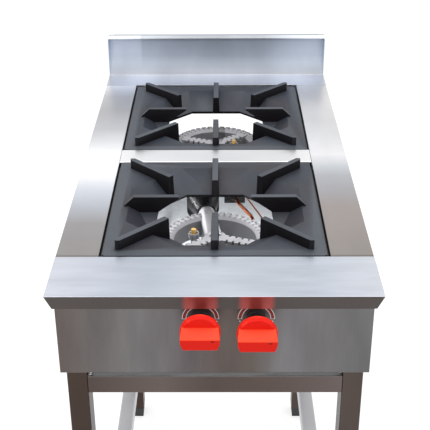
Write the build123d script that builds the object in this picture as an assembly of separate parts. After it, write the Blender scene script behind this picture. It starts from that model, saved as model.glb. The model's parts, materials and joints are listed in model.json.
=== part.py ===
from build123d import *
import math
import os

# Two-burner stock pot range on an open leg stand. Millimetres, +Z up.
# The front faces -Y. The origin is on the floor, under the middle of the whole range.

# ---------------------------------------------------------------- hob top
hob_height = 890.0
hob_sheet = 1.5
lip_drop = 24.0
lip_setback = 8.0
landing_depth = 106.0
side_strip_width = 61.5
shelf_depth = 63.0
splash_height = 79.0
splash_lean = 24.0
splash_back_room = 4.0
back_plate_drop = 45.0
joint_gap = 0.4
ledge_width = 14.0

# ---------------------------------------------------------------- grates
grate_size = 319.0
grate_corner_radius = 5.0
grate_rim_thickness = 7.0
grate_seat_gap = 0.3
grate_side_gap = 4.0
grate_front_gap = 2.2
grate_rear_gap = 9.8
cross_strip_width = 51.0
cross_strip_gap = 1.0
dish_reach = 134.5
dish_corner_cut = 79.0
dish_drop = 25.0
dish_thickness = 5.5
dish_edge_width = 4.0
flame_opening_reach_x = 93.0
flame_opening_reach_y = 85.0
flame_opening_corner_cut = 47.0
opening_draft = 20.0
saddle_depth = 9.0
saddle_slope = 15.0
finger_reach = 142.0
finger_height = 15.0
finger_top_width = 9.5
finger_foot_width = 13.0
finger_end_slope = 16.0
finger_tip_height = 2.5
side_foot_setback = 17.0
straight_finger_tip = 56.0
corner_finger_tip = 101.0

# ---------------------------------------------------------------- body
body_width = 428.0
panel_sheet = 1.2
panel_setback = 10.7
panel_height = 131.0
panel_fold_radius = 1.8
control_box_depth = 43.0
top_flange_width = 20.0
bottom_flange_width = 30.0
brace_sheet = 2.0
mid_brace_depth = 21.0

# ---------------------------------------------------------------- stand
leg_width = 30.0
leg_depth = 40.0
tube_size = 30.0
tube_wall = 1.5
front_leg_setback = 55.0
rear_leg_inset = 15.0
upper_rail_drop = 170.0
stretcher_drop = 690.0
foot_height = 22.0
foot_taper = 2.0
foot_plug_height = 15.0
foot_plug_gap = 0.3
sole_thickness = 3.0

# ---------------------------------------------------------------- drip tray
tray_side_gap = 5.0
tray_height = 26.0
tray_sheet = 1.0
tray_front_setback = 9.0
tray_back_gap = 5.0
tray_grip_reach = 12.0
tray_grip_half_length = 60.0
tray_slide_gap = 0.3
runner_width = 18.0
runner_height = 14.0
runner_sheet = 2.0
runner_screw_count = 3
runner_screw_end_room = 60.0

# ---------------------------------------------------------------- burners
burner_top_drop = 56.0
ring_outer_radius = 83.0
ring_inner_radius = 65.5
ring_height = 35.0
ring_bevel = 5.0
ring_port_count = 42
port_width = 3.6
port_depth = 5.0
port_height = 7.0
burner_wall = 4.0
arm_width = 19.0
arm_spacing = 120.0
arm_port_pitch = 10.5
arm_port_count = 4
hub_radius = 17.0
feed_tube_radius = 13.5
feed_axis_drop = 64.0
feed_bore_radius = 9.5
feed_angle = 9.0
bell_sleeve = 6.0
bell_sleeve_gap = 0.1
bell_cone_length = 36.0
bell_mouth_radius = 27.0
bell_wall = 2.5
bell_plate_width = 59.0
bell_plate_height = 55.0
bell_plate_thickness = 4.0
bell_plate_corner = 15.0
injector_gap = 6.0
injector_radius = 11.0
injector_length = 72.0
injector_hex_length = 12.0
injector_end_room = 6.9
nozzle_radius = 4.0
nozzle_length = 9.0
jet_radius = 0.8
jet_length = 3.0
hanger_thickness = 2.0
hanger_width = 36.0
hanger_overlap = 12.0
hanger_edge = 5.0
support_width = 30.0
support_depth = 20.0
pilot_left = 34.0
pilot_back = 8.0
pilot_body_radius = 5.0
pilot_body_height = 16.0
pilot_stem_radius = 3.2
pilot_stem_length = 6.0
pilot_cup_radius = 8.0
pilot_cup_height = 10.0
pilot_cup_wall = 1.5
pilot_tip_radius = 3.2
pilot_tip_drop = 54.0
pilot_tip_cone = 4.0

# ---------------------------------------------------------------- fasteners
bolt_radius = 2.5
bolt_head_radius = 4.5
bolt_head_height = 3.0
bolt_end_length = 3.0
fitting_gap = 0.1

# ---------------------------------------------------------------- gas train
pipe_radius = 10.65
pipe_wall = 2.6
pipe_rest_gap = 0.3
manifold_setback = 34.0
manifold_left_reach = 150.0
manifold_cap_length = 10.0
inlet_side_room = 20.8
inlet_rear_gap = 7.0
elbow_radius = 14.5
elbow_arm = 24.0
socket_radius = 14.5
socket_length = 26.0
socket_thread_radius = 9.5
socket_thread_length = 12.0
feed_pipe_radius = 3.0
pilot_pipe_radius = 1.5
feed_pipe_wall = 0.8
pilot_pipe_wall = 0.5
takeoff_radius = 5.0
takeoff_length = 12.0
front_pilot_takeoff_x = -70.0
rear_pilot_takeoff_x = 100.0
pipe_run_clearance = 5.5
feed_straight = 30.0
feed_side_run = 125.0
feed_bend_radius = 17.0
feed_entry_length = 40.0
feed_return_room = 27.0
rear_feed_run_x = 63.5
rear_feed_climb_start = 32.0
rear_feed_climb_length = 42.0
rear_feed_climb_drop = 84.0
rear_feed_entry_length = 22.0
pilot_straight = 27.0
pilot_run_start = 130.0
pilot_bend_radius = 8.0
rear_pilot_run_x = 112.0
rear_pilot_turn = 81.0
rear_pilot_bend_x = 50.0
rear_pilot_bend = 86.0

# ---------------------------------------------------------------- valves and knobs
left_valve_x = -18.5
right_valve_x = 56.3
valve_axis_drop = 41.0
valve_barrel_radius = 12.0
valve_barrel_length = 38.0
valve_neck_radius = 7.5
valve_chamber_radius = 7.5
valve_end_wall = 4.0
valve_front_wall = 2.2
valve_saddle_width = 26.0
valve_saddle_depth = 28.0
valve_saddle_height = 14.0
valve_saddle_gap = 0.1
valve_outlet_radius = 6.0
valve_outlet_length = 8.0
plug_length = 11.0
running_clearance = 0.08
free_clearance = 0.35
panel_hole_gap = 0.3
collar_flange_radius = 13.0
collar_flange_thickness = 3.0
collar_sleeve_radius = 9.5
spindle_radius = 4.0
spindle_flat = 1.2
spindle_flange_radius = 6.6
spindle_flange_length = 2.0
spindle_engagement = 4.0
press_travel = 3.0
press_stop_gap = 0.5
knob_radius = 27.0
knob_standoff = 30.7
right_knob_extra_standoff = 4.0
knob_skirt_thickness = 7.0
knob_skirt_bevel = 3.0
knob_insert_radius = 9.0
knob_grip_inset = 1.0
knob_grip_depth = 17.0
knob_ramp_top = 10.6
knob_ramp_foot = 2.7
knob_chord_drop = 13.4
knob_edge_radius = 1.2
knob_bore_gap = 0.05
knob_bore_depth = 14.0

# ---------------------------------------------------------------- derived places
knob_depth = knob_skirt_thickness + knob_grip_depth
knob_overhang = knob_standoff + right_knob_extra_standoff + knob_depth - panel_setback
hob_width = grate_size + 2 * (grate_side_gap + side_strip_width)
well_length = grate_front_gap + 2 * (grate_size + cross_strip_gap) + cross_strip_width + grate_rear_gap
hob_depth = landing_depth + well_length + shelf_depth + splash_lean + splash_back_room
front = (knob_overhang - hob_depth) / 2
back = front + hob_depth
half_hob = hob_width / 2
half_body = body_width / 2
body_inside = half_body - panel_sheet
half_well = half_hob - side_strip_width
well_front = front + landing_depth
splash_foot = back - splash_back_room - splash_lean
well_back = splash_foot - shelf_depth
splash_top = hob_height + splash_height
hob_underside = hob_height - hob_sheet
lip_angle = math.atan2(lip_setback, lip_drop)
seat_z = hob_height - grate_rim_thickness - grate_seat_gap
ledge_half_length = half_well - ledge_width - joint_gap
front_grate_y = well_front + grate_front_gap + grate_size / 2
cross_strip_front = front_grate_y + grate_size / 2 + cross_strip_gap
cross_strip_back = cross_strip_front + cross_strip_width
rear_grate_y = cross_strip_back + cross_strip_gap + grate_size / 2
middle_y = (front_grate_y + rear_grate_y) / 2
panel_face = front + panel_setback
panel_inner = panel_face + panel_sheet
panel_bottom = hob_height - panel_height
control_box_back = panel_face + control_box_depth
leg_front = front + front_leg_setback
leg_back = back - rear_leg_inset
rail_front = leg_front + leg_depth
rail_back = leg_back - leg_depth
leg_inside = half_body - leg_width
leg_bottom = foot_height + sole_thickness
rail_top = hob_height - upper_rail_drop
stretcher_top = hob_height - stretcher_drop
tray_bottom = rail_top + tray_slide_gap
tray_front = leg_front + tray_front_setback
tray_back = leg_back - tray_back_gap
tray_half_width = leg_inside - tray_side_gap
runner_screw_z = rail_top - runner_height / 2
burner_top = hob_height - burner_top_drop
burner_base = burner_top - ring_height
support_bottom = burner_base - support_depth
feed_axis_z = hob_height - feed_axis_drop
brace_top = seat_z - hob_sheet
brace_bottom = brace_top - mid_brace_depth
pipe_z = burner_base + pipe_rest_gap + pipe_radius
pipe_run_z = support_bottom - pipe_run_clearance
manifold_y = front + manifold_setback
inlet_pipe_x = body_inside - inlet_side_room
inlet_end = back - inlet_rear_gap
valve_z = hob_height - valve_axis_drop
barrel_end = panel_inner + valve_barrel_length
chamber_front = panel_inner + valve_front_wall
chamber_end = barrel_end - valve_end_wall
plug_front = chamber_end - plug_length
feed_outlet_y = barrel_end + valve_outlet_length
takeoff_end = manifold_y + pipe_radius + takeoff_length
hanger_back = cross_strip_back - brace_sheet
hanger_front = hanger_back - hanger_thickness
hanger_reach = (hanger_front + hanger_back) / 2 - front_grate_y
hanger_x = -hanger_reach * math.tan(math.radians(feed_angle))
injector_end = hanger_reach / math.cos(math.radians(feed_angle)) + injector_end_room
injector_start = injector_end - injector_length
bell_mouth = injector_start - injector_gap
bell_plate_start = bell_mouth - bell_plate_thickness
feed_tube_reach = bell_plate_start - bell_cone_length
bell_start = feed_tube_reach - bell_sleeve
hanger_bolt_z = brace_bottom + hanger_overlap / 2
insert_front_room = collar_flange_thickness + press_travel + press_stop_gap


# ---------------------------------------------------------------- helpers
def block(x, y, z):
    """A box from its (low, high) pair along each axis."""
    spans = (x, y, z)
    size = [high - low for low, high in spans]
    centre = [(high + low) / 2 for low, high in spans]
    return Pos(*centre) * Box(*size)


def both_sides(half):
    """The pair from -half to +half."""
    return (-half, half)


def around(centre, size):
    """The pair of the given size that is centred on a value."""
    return (centre - size / 2, centre + size / 2)


def thickened(path, thickness):
    """The closed outline of a folded sheet: a path, and the same path moved to its right."""
    points = [Vector(*point) for point in path]
    runs = [(after - before).normalized() for before, after in zip(points, points[1:])]
    normals = [Vector(run.Y, -run.X) for run in runs]
    moved = []
    for index, point in enumerate(points):
        before = normals[max(index - 1, 0)]
        after = normals[min(index, len(normals) - 1)]
        mitre = (before + after) * (thickness / (1 + before.dot(after)))
        moved.append(point + mitre)
    return points + moved[::-1]


def prism_along_x(outline, x):
    """A (y, z) outline extruded over the x range."""
    face = Plane.YZ.offset(x[0]) * make_face(Polyline(*outline, close=True))
    return extrude(face, amount=x[1] - x[0])


def prism_along_y(outline, y):
    """An (x, z) outline extruded over the y range."""
    face = Plane.XZ.offset(-y[0]) * make_face(Polyline(*outline, close=True))
    return extrude(face, amount=y[0] - y[1])


def rod_along_y(radius, x, y, z):
    """A cylinder over the y range, centred on x and z."""
    axis = Plane(origin=(x, y[0], z), z_dir=(0, 1, 0))
    return extrude(axis * Circle(radius), amount=y[1] - y[0])


def rod_along_x(radius, x, y, z):
    """A cylinder over the x range, centred on y and z."""
    axis = Plane(origin=(x[0], y, z), z_dir=(1, 0, 0))
    return extrude(axis * Circle(radius), amount=x[1] - x[0])


def rod_along_z(radius, x, y, z):
    """A cylinder over the z range, centred on x and y."""
    return extrude(Plane.XY.offset(z[0]) * Pos(x, y) * Circle(radius), amount=z[1] - z[0])


def cone_along_y(start_radius, end_radius, y, z):
    """A cone on the x = 0 line whose radius changes over the y range."""
    middle = (y[0] + y[1]) / 2
    return Pos(0, middle, z) * Rot(-90, 0, 0) * Cone(start_radius, end_radius, y[1] - y[0])


def ring_prism(outer, inner, z):
    """A round ring about the z axis."""
    return extrude(Plane.XY.offset(z[0]) * (Circle(outer) - Circle(inner)), amount=z[1] - z[0])


def tube(x, y, z, wall, axis):
    """A rectangular tube, open along one axis."""
    spans = {"x": x, "y": y, "z": z}
    inner = {name: (low + wall, high - wall) for name, (low, high) in spans.items()}
    inner[axis] = spans[axis]
    return block(x, y, z) - block(inner["x"], inner["y"], inner["z"])


def channel_along_x(x, y, z, wall):
    """A channel with its web on top and its open side down."""
    inside = block(x, (y[0] + wall, y[1] - wall), (z[0], z[1] - wall))
    return block(x, y, z) - inside


def mirrored(shape):
    """The same piece for the other side of the range."""
    return mirror(shape, about=Plane.YZ)


def at_front_burner(shape):
    """A piece drawn about a burner's own centre, placed at the front burner."""
    return Pos(0, front_grate_y, 0) * Rot(0, 0, feed_angle) * shape


def half_turned(shape):
    """The same piece for the rear burner, turned half round the middle of the hob."""
    return Pos(0, 2 * middle_y, 0) * Rot(0, 0, 180) * shape


# ---------------------------------------------------------------- hob top
def front_corner_block(inset):
    """The space under the front landing, with sloping front and sides, drawn in by inset."""
    low_half = half_hob - lip_setback - inset
    high_half = half_hob - inset
    low = Plane.XY.offset(hob_height - lip_drop) * Pos(0, middle_y) * Rectangle(
        2 * low_half, 2 * (middle_y - front - lip_setback - inset)
    )
    high = Plane.XY.offset(hob_height) * Pos(0, middle_y) * Rectangle(
        2 * high_half, 2 * (middle_y - front - inset)
    )
    return loft([low.face(), high.face()], ruled=True)


def front_landing():
    """The wide front strip with its mitred lip, and the ledge that the front grate rests on."""
    skin = hob_sheet / math.cos(lip_angle)
    below_top = block(both_sides(half_hob), (front, back), (0, hob_underside))
    shell = front_corner_block(0) - (front_corner_block(skin) & below_top)
    strip = shell & block(both_sides(half_hob), (front, well_front), (0, hob_height))
    path = [
        (well_front - 2 * hob_sheet, hob_height),
        (well_front, hob_height),
        (well_front, seat_z),
        (well_front + ledge_width, seat_z),
    ]
    return strip + prism_along_x(thickened(path, hob_sheet), both_sides(ledge_half_length))


def left_side_strip():
    """One folded sheet: outer lip, top, drop into the well and grate ledge."""
    path = [
        (-half_hob + lip_setback, hob_height - lip_drop),
        (-half_hob, hob_height),
        (-half_well, hob_height),
        (-half_well, seat_z),
        (-half_well + ledge_width, seat_z),
    ]
    span = (well_front + joint_gap, well_back - joint_gap)
    return prism_along_y(thickened(path, hob_sheet), span)


def rear_splashback():
    """Rear shelf with side lips, leaning splash face, forward ledge and end gussets."""
    face_top = splash_top - hob_sheet
    path = [
        (well_back, hob_height),
        (splash_foot, hob_height),
        (splash_foot + splash_lean, face_top),
        (splash_foot, face_top),
    ]
    sheet = prism_along_x(thickened(path, hob_sheet), both_sides(half_hob))
    lip_path = [
        (-half_hob + lip_setback, hob_height - lip_drop),
        (-half_hob, hob_height),
        (-half_hob + lip_setback, hob_height),
    ]
    left_lip = prism_along_y(thickened(lip_path, hob_sheet), (well_back, back - hob_sheet))
    seat_path = [
        (well_back - ledge_width, seat_z),
        (well_back, seat_z),
        (well_back, hob_height),
        (well_back + 2 * hob_sheet, hob_height),
    ]
    seat = prism_along_x(thickened(seat_path, hob_sheet), both_sides(ledge_half_length))
    gusset = [
        (splash_foot, hob_underside),
        (splash_foot + splash_lean, face_top),
        (splash_foot, face_top),
    ]
    left_gusset = prism_along_x(gusset, (-half_hob, -half_hob + hob_sheet))
    ends = left_gusset + left_lip
    return sheet + seat + ends + mirrored(ends)


def splash_back_plate():
    """The flat sheet that closes the back of the splash and the top of the body."""
    return block(
        both_sides(half_body),
        (back - hob_sheet, back),
        (hob_height - back_plate_drop, splash_top),
    )


def cross_strip():
    """The strip between the grates, with a grate ledge along each edge."""
    path = [
        (cross_strip_front, seat_z),
        (cross_strip_front, hob_height),
        (cross_strip_back, hob_height),
        (cross_strip_back, seat_z),
    ]
    strip = prism_along_x(thickened(path, hob_sheet), both_sides(half_well - joint_gap))
    reach = ledge_width - hob_sheet
    along = both_sides(ledge_half_length)
    under = (brace_top, seat_z)
    front_ledge = block(along, (cross_strip_front - reach, cross_strip_front + hob_sheet), under)
    back_ledge = block(along, (cross_strip_back - hob_sheet, cross_strip_back + reach), under)
    return strip + front_ledge + back_ledge


def mid_cross_member():
    """The channel under the cross strip, which also carries both injectors."""
    channel = channel_along_x(
        both_sides(body_inside),
        (cross_strip_front, cross_strip_back),
        (brace_bottom, brace_top),
        brace_sheet,
    )
    hole = rod_along_y(
        bolt_radius + fitting_gap, hanger_x, (hanger_back, cross_strip_back), hanger_bolt_z
    )
    return channel - hole - half_turned(hole)


# ---------------------------------------------------------------- grates
def octagon(reach_x, reach_y, corner_cut, z):
    """A rectangle with its four corners cut off at 45 degrees, at height z."""
    points = [
        (reach_x - corner_cut, reach_y),
        (reach_x, reach_y - corner_cut),
        (reach_x, corner_cut - reach_y),
        (reach_x - corner_cut, -reach_y),
        (corner_cut - reach_x, -reach_y),
        (-reach_x, corner_cut - reach_y),
        (-reach_x, reach_y - corner_cut),
        (corner_cut - reach_x, reach_y),
    ]
    return Plane.XY.offset(z) * make_face(Polyline(*points, close=True))


def dish_space(lowered, edge):
    """The dish from its rim down to the flame opening, lowered and widened at its foot."""
    rim = octagon(dish_reach, dish_reach, dish_corner_cut, -lowered)
    foot = octagon(
        flame_opening_reach_x + edge,
        flame_opening_reach_y + edge,
        flame_opening_corner_cut,
        -dish_drop - lowered,
    )
    return loft([rim.face(), foot.face()], ruled=True)


def flame_opening():
    """The eight-sided opening through the dish, drawn in towards its top by the casting's draft."""
    draft = math.tan(math.radians(opening_draft))
    top_inset = dish_drop * draft
    foot_inset = -dish_thickness * draft
    rims = [(top_inset, 0), (foot_inset, -dish_drop - dish_thickness)]
    outlines = [
        octagon(
            flame_opening_reach_x - inset,
            flame_opening_reach_y - inset,
            flame_opening_corner_cut,
            height,
        ).face()
        for inset, height in rims
    ]
    return loft(outlines, ruled=True)


def saddle():
    """The raised floor under the two side fingers, falling away to the front and the back."""
    fall = grate_size / 2 * math.tan(math.radians(saddle_slope))
    floor = -dish_drop - dish_thickness
    roof = [
        (-grate_size / 2, floor - fall),
        (-grate_size / 2, -saddle_depth - fall),
        (0, -saddle_depth),
        (grate_size / 2, -saddle_depth - fall),
        (grate_size / 2, floor - fall),
    ]
    return prism_along_x(roof, both_sides(grate_size))


def finger(tip, outer, foot_tip, end_slope):
    """One upright rib along +X with drawn-in sides, an undercut tip and a sloping outer end."""
    middle = (tip + outer) / 2
    length = outer - tip
    low = Plane.XY.offset(-dish_drop) * Pos(middle, 0) * Rectangle(length, finger_foot_width)
    high = Plane.XY.offset(finger_height) * Pos(middle, 0) * Rectangle(length, finger_top_width)
    drawn_in = loft([low.face(), high.face()], ruled=True)
    side = [
        (foot_tip, -dish_drop),
        (outer, -dish_drop),
        (outer, 0),
        (outer - end_slope, finger_height),
        (tip, finger_height),
        (tip, finger_height - finger_tip_height),
    ]
    return drawn_in & prism_along_y(side, both_sides(finger_foot_width))


def grate():
    """A square cast plate, dished to an eight-sided flame opening, with eight fingers."""
    slab = extrude(
        RectangleRounded(grate_size, grate_size, grate_corner_radius),
        amount=-grate_rim_thickness,
    )
    solid_dish = slab + dish_space(dish_thickness, dish_edge_width)
    hollow = dish_space(0, 0) - saddle()
    plate = solid_dish - hollow - flame_opening()
    headroom = block(both_sides(finger_reach), both_sides(finger_reach), (0, finger_height))
    rib_room = solid_dish + headroom
    side_foot = flame_opening_reach_x + side_foot_setback
    side_finger = finger(straight_finger_tip, finger_reach, side_foot, finger_end_slope)
    end_finger = finger(straight_finger_tip, finger_reach, flame_opening_reach_y, 0)
    corner = finger(corner_finger_tip, finger_reach * math.sqrt(2), corner_finger_tip, 0)
    for quarter in range(4):
        straight = end_finger if quarter % 2 else side_finger
        plate += (Rot(0, 0, 90 * quarter) * straight) & rib_room
        plate += (Rot(0, 0, 90 * quarter + 45) * corner) & rib_room
    return plate


def placed_grate(y):
    """A grate lying on its ledges."""
    return Pos(0, y, hob_height) * grate()


# ---------------------------------------------------------------- body
def control_panel():
    """The folded front panel with its side returns and its two spindle holes."""
    shell = block(
        both_sides(half_body), (panel_face, control_box_back), (panel_bottom, hob_underside)
    )
    folds = shell.edges().group_by(Axis.Y)[0]
    bottom_fold = folds.group_by(Axis.Z)[0]
    side_folds = folds.filter_by(Axis.Z)
    shell = fillet(bottom_fold + side_folds, panel_fold_radius)
    inside = block(
        both_sides(body_inside),
        (panel_inner, control_box_back),
        (panel_bottom + panel_sheet, hob_underside - panel_sheet),
    )
    below = block(
        both_sides(body_inside),
        (panel_inner + bottom_flange_width, control_box_back),
        (panel_bottom, panel_bottom + panel_sheet),
    )
    above = block(
        both_sides(body_inside),
        (panel_inner + top_flange_width, control_box_back),
        (hob_underside - panel_sheet, hob_underside),
    )
    panel = shell - inside - below - above
    for valve_x in (left_valve_x, right_valve_x):
        panel -= rod_along_y(
            collar_sleeve_radius + panel_hole_gap, valve_x, (panel_face, panel_inner), valve_z
        )
    return panel


def left_side_panel():
    """A flat side with a flange under the hob and one on top of the legs."""
    span = (control_box_back + joint_gap, back - hob_sheet)
    wall = block((-half_body, -body_inside), span, (panel_bottom, hob_underside))
    top = block(
        (-body_inside, -body_inside + top_flange_width),
        span,
        (hob_underside - panel_sheet, hob_underside),
    )
    bottom = block(
        (-body_inside, -body_inside + bottom_flange_width),
        span,
        (panel_bottom, panel_bottom + panel_sheet),
    )
    return wall + top + bottom


# ---------------------------------------------------------------- stand
def left_leg(y):
    """A left leg over the y range, from its foot to the underside of the body."""
    return tube((-half_body, -leg_inside), y, (leg_bottom, panel_bottom), tube_wall, "z")


def left_foot(y):
    """A tapered foot with a plug that fills the end of the leg."""
    x_middle = -(half_body + leg_inside) / 2
    y_middle = (y[0] + y[1]) / 2
    low = Plane.XY.offset(sole_thickness) * Pos(x_middle, y_middle) * Rectangle(
        leg_width - 2 * foot_taper, leg_depth - 2 * foot_taper
    )
    high = Plane.XY.offset(leg_bottom) * Pos(x_middle, y_middle) * Rectangle(leg_width, leg_depth)
    block_part = loft([low.face(), high.face()], ruled=True)
    shrink = 2 * (tube_wall + foot_plug_gap)
    plug = block(
        around(x_middle, leg_width - shrink),
        around(y_middle, leg_depth - shrink),
        (leg_bottom, leg_bottom + foot_plug_height),
    )
    return block_part + plug


def left_sole(y):
    """The flat pad under a foot."""
    x_middle = -(half_body + leg_inside) / 2
    y_middle = (y[0] + y[1]) / 2
    return block(
        around(x_middle, leg_width - 2 * foot_taper),
        around(y_middle, leg_depth - 2 * foot_taper),
        (0, sole_thickness),
    )


def screw_places():
    """The y positions of the screws along a tray runner."""
    first = rail_front + runner_screw_end_room
    last = rail_back - runner_screw_end_room
    step = (last - first) / (runner_screw_count - 1)
    return [first + index * step for index in range(runner_screw_count)]


def runner_holes():
    """The screw holes through the left runner and the inner wall of the left rail."""
    span = (-leg_inside - tube_wall, -leg_inside + runner_sheet)
    return Compound(
        children=[
            rod_along_x(bolt_radius + fitting_gap, span, y, runner_screw_z)
            for y in screw_places()
        ]
    )


def left_upper_rail():
    """The side tube between the legs that carries the tray runner."""
    rail = tube(
        (-half_body, -leg_inside),
        (rail_front, rail_back),
        (rail_top - tube_size, rail_top),
        tube_wall,
        "y",
    )
    return rail - runner_holes()


def cross_rail(y):
    """A tube from leg to leg across the stand."""
    return tube(both_sides(leg_inside), y, (rail_top - tube_size, rail_top), tube_wall, "x")


def left_lower_stretcher():
    """The low side tube between the legs."""
    return tube(
        (-half_body, -leg_inside),
        (rail_front, rail_back),
        (stretcher_top - tube_size, stretcher_top),
        tube_wall,
        "y",
    )


def left_tray_runner():
    """The angle on the inner face of the side rail that the tray slides on."""
    span = (rail_front, rail_back)
    shelf = block(
        (-leg_inside, -leg_inside + runner_width), span, (rail_top - runner_sheet, rail_top)
    )
    web = block((-leg_inside, -leg_inside + runner_sheet), span, (rail_top - runner_height, rail_top))
    return shelf + web - runner_holes()


def drip_tray():
    """The open tray under the burners, with a pull lip in front."""
    top = tray_bottom + tray_height
    outer = block(both_sides(tray_half_width), (tray_front, tray_back), (tray_bottom, top))
    inner = block(
        both_sides(tray_half_width - tray_sheet),
        (tray_front + tray_sheet, tray_back - tray_sheet),
        (tray_bottom + tray_sheet, top),
    )
    grip = block(
        both_sides(tray_grip_half_length),
        (tray_front - tray_grip_reach, tray_front),
        (top - tray_sheet, top),
    )
    return outer - inner + grip


# ---------------------------------------------------------------- burners
def arm_block(width, height_inset, start, end):
    """A bar from the hub towards the ring, along +Y, centred on the x = 0 line."""
    return block(
        both_sides(width / 2), (start, end), (burner_base + height_inset, burner_top - height_inset)
    )


def port_notches():
    """All the flame port notches in the top edges of the ring and of the two ported arms."""
    notch_z = (burner_top - port_height, burner_top)
    ring_notch = block(
        (ring_outer_radius - port_depth, ring_outer_radius), both_sides(port_width / 2), notch_z
    )
    notches = []
    step = 360 / ring_port_count
    for index in range(ring_port_count):
        notches.append(Rot(0, 0, 90 + step * (index + 0.5)) * ring_notch)
    first = hub_radius + arm_port_pitch / 2
    for turn in (arm_spacing, -arm_spacing):
        for index in range(arm_port_count):
            along = around(first + index * arm_port_pitch, port_width)
            right = block((arm_width / 2 - port_depth, arm_width / 2), along, notch_z)
            notches.append(Rot(0, 0, turn) * right)
            notches.append(Rot(0, 0, turn) * mirrored(right))
    return Compound(children=notches)


def ring_burner():
    """The hollow cast ring with a hub, two ported arms and the plain feed tube."""
    ring = ring_prism(ring_outer_radius, ring_inner_radius, (burner_base, burner_top))
    inner_edge = ring.edges().group_by(Axis.Z)[-1].sort_by(SortBy.LENGTH)[0]
    ring = chamfer(inner_edge, ring_bevel)
    ring_middle = (ring_inner_radius + ring_outer_radius) / 2
    casting = ring + rod_along_z(hub_radius, 0, 0, (burner_base, burner_top))
    for turn in (arm_spacing, -arm_spacing):
        casting += Rot(0, 0, turn) * arm_block(arm_width, 0, 0, ring_middle)
    casting += rod_along_y(feed_tube_radius, 0, (0, feed_tube_reach), feed_axis_z)
    pillar_top = (burner_base, feed_axis_z)
    casting += block(both_sides(feed_tube_radius), (0, ring_middle), pillar_top)
    channel_z = (burner_base + burner_wall, burner_top - burner_wall)
    channel = ring_prism(
        ring_outer_radius - burner_wall, ring_inner_radius + burner_wall + ring_bevel / 2, channel_z
    )
    hollow = channel + rod_along_z(hub_radius - burner_wall, 0, 0, channel_z)
    for turn in (arm_spacing, -arm_spacing):
        hollow += Rot(0, 0, turn) * arm_block(
            arm_width - 2 * burner_wall, burner_wall, 0, ring_middle
        )
    hollow += rod_along_y(feed_bore_radius, 0, (0, feed_tube_reach), feed_axis_z)
    return casting - hollow - port_notches()


def mixer():
    """The air bell on the end of the feed tube, with a square mouth plate."""
    sleeve_bore = feed_tube_radius + bell_sleeve_gap
    neck_radius = sleeve_bore + bell_wall
    sleeve = rod_along_y(neck_radius, 0, (bell_start, feed_tube_reach), feed_axis_z)
    cone_span = (feed_tube_reach, bell_plate_start)
    cone = cone_along_y(neck_radius, bell_mouth_radius, cone_span, feed_axis_z)
    plate_face = Plane(origin=(0, bell_plate_start, feed_axis_z), z_dir=(0, 1, 0))
    rim = rod_along_y(bell_mouth_radius, 0, (bell_plate_start, bell_mouth), feed_axis_z)
    plate = extrude(
        plate_face * Rot(0, 0, 90) * RectangleRounded(
            bell_plate_height, bell_plate_width, bell_plate_corner
        ),
        amount=bell_plate_thickness,
    )
    inner_mouth = bell_mouth_radius - bell_wall
    bore = rod_along_y(sleeve_bore, 0, (bell_start, feed_tube_reach), feed_axis_z)
    inner_cone = cone_along_y(sleeve_bore, inner_mouth, cone_span, feed_axis_z)
    mouth = rod_along_y(inner_mouth, 0, (bell_plate_start, bell_mouth), feed_axis_z)
    return sleeve + cone + rim + plate - bore - inner_cone - mouth


def injector():
    """The brass injector: hexagon, round body through its hanger, nozzle and gas bore."""
    body = rod_along_y(injector_radius, 0, (injector_start, injector_end), feed_axis_z)
    hexagon_face = Plane(origin=(0, injector_start, feed_axis_z), z_dir=(0, 1, 0))
    hexagon = extrude(
        hexagon_face * RegularPolygon(injector_radius + hanger_thickness, 6),
        amount=injector_hex_length,
    )
    nozzle = rod_along_y(nozzle_radius, 0, (injector_start - nozzle_length, injector_start), feed_axis_z)
    bore_radius = feed_pipe_radius - feed_pipe_wall
    jet_start = injector_start - nozzle_length
    bore = rod_along_y(bore_radius, 0, (jet_start + jet_length, injector_end), feed_axis_z)
    jet = rod_along_y(jet_radius, 0, (jet_start, jet_start + jet_length), feed_axis_z)
    return body + hexagon + nozzle - bore - jet


def front_injector_hanger():
    """The flat strip that hangs from the cross member and holds the front injector."""
    strip = block(
        around(hanger_x, hanger_width),
        (hanger_front, hanger_back),
        (feed_axis_z - injector_radius - hanger_edge, brace_bottom + hanger_overlap),
    )
    through = (hanger_front, hanger_back)
    bolt_hole = rod_along_y(bolt_radius + fitting_gap, hanger_x, through, hanger_bolt_z)
    room = at_front_burner(
        rod_along_y(
            injector_radius + free_clearance, 0, (injector_start, injector_end), feed_axis_z
        )
    )
    return strip - bolt_hole - room


def front_burner_support():
    """The channel across the body that the front burner and its pilot stand on."""
    bar = channel_along_x(
        both_sides(body_inside),
        around(front_grate_y, support_width),
        (support_bottom, burner_base),
        brace_sheet,
    )
    hole = rod_along_z(
        pilot_stem_radius + fitting_gap,
        -pilot_left,
        front_grate_y + pilot_back,
        (burner_base - brace_sheet, burner_base),
    )
    return bar - hole


def front_pilot():
    """The pilot's body and flame cup, standing on the burner support."""
    place = (-pilot_left, front_grate_y + pilot_back)
    body_top = burner_base + pilot_body_height
    cup_top = hob_height - pilot_tip_drop
    cup_bottom = cup_top - pilot_cup_height
    stem = rod_along_z(pilot_stem_radius, *place, (burner_base - pilot_stem_length, burner_base))
    body = rod_along_z(pilot_body_radius, *place, (burner_base, body_top))
    post = rod_along_z(pilot_body_radius, *place, (body_top, cup_bottom + pilot_cup_wall))
    cup = rod_along_z(pilot_cup_radius, *place, (cup_bottom, cup_top))
    room = rod_along_z(
        pilot_cup_radius - pilot_cup_wall, *place, (cup_bottom + pilot_cup_wall, cup_top)
    )
    return stem + body + post + (cup - room)


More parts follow.
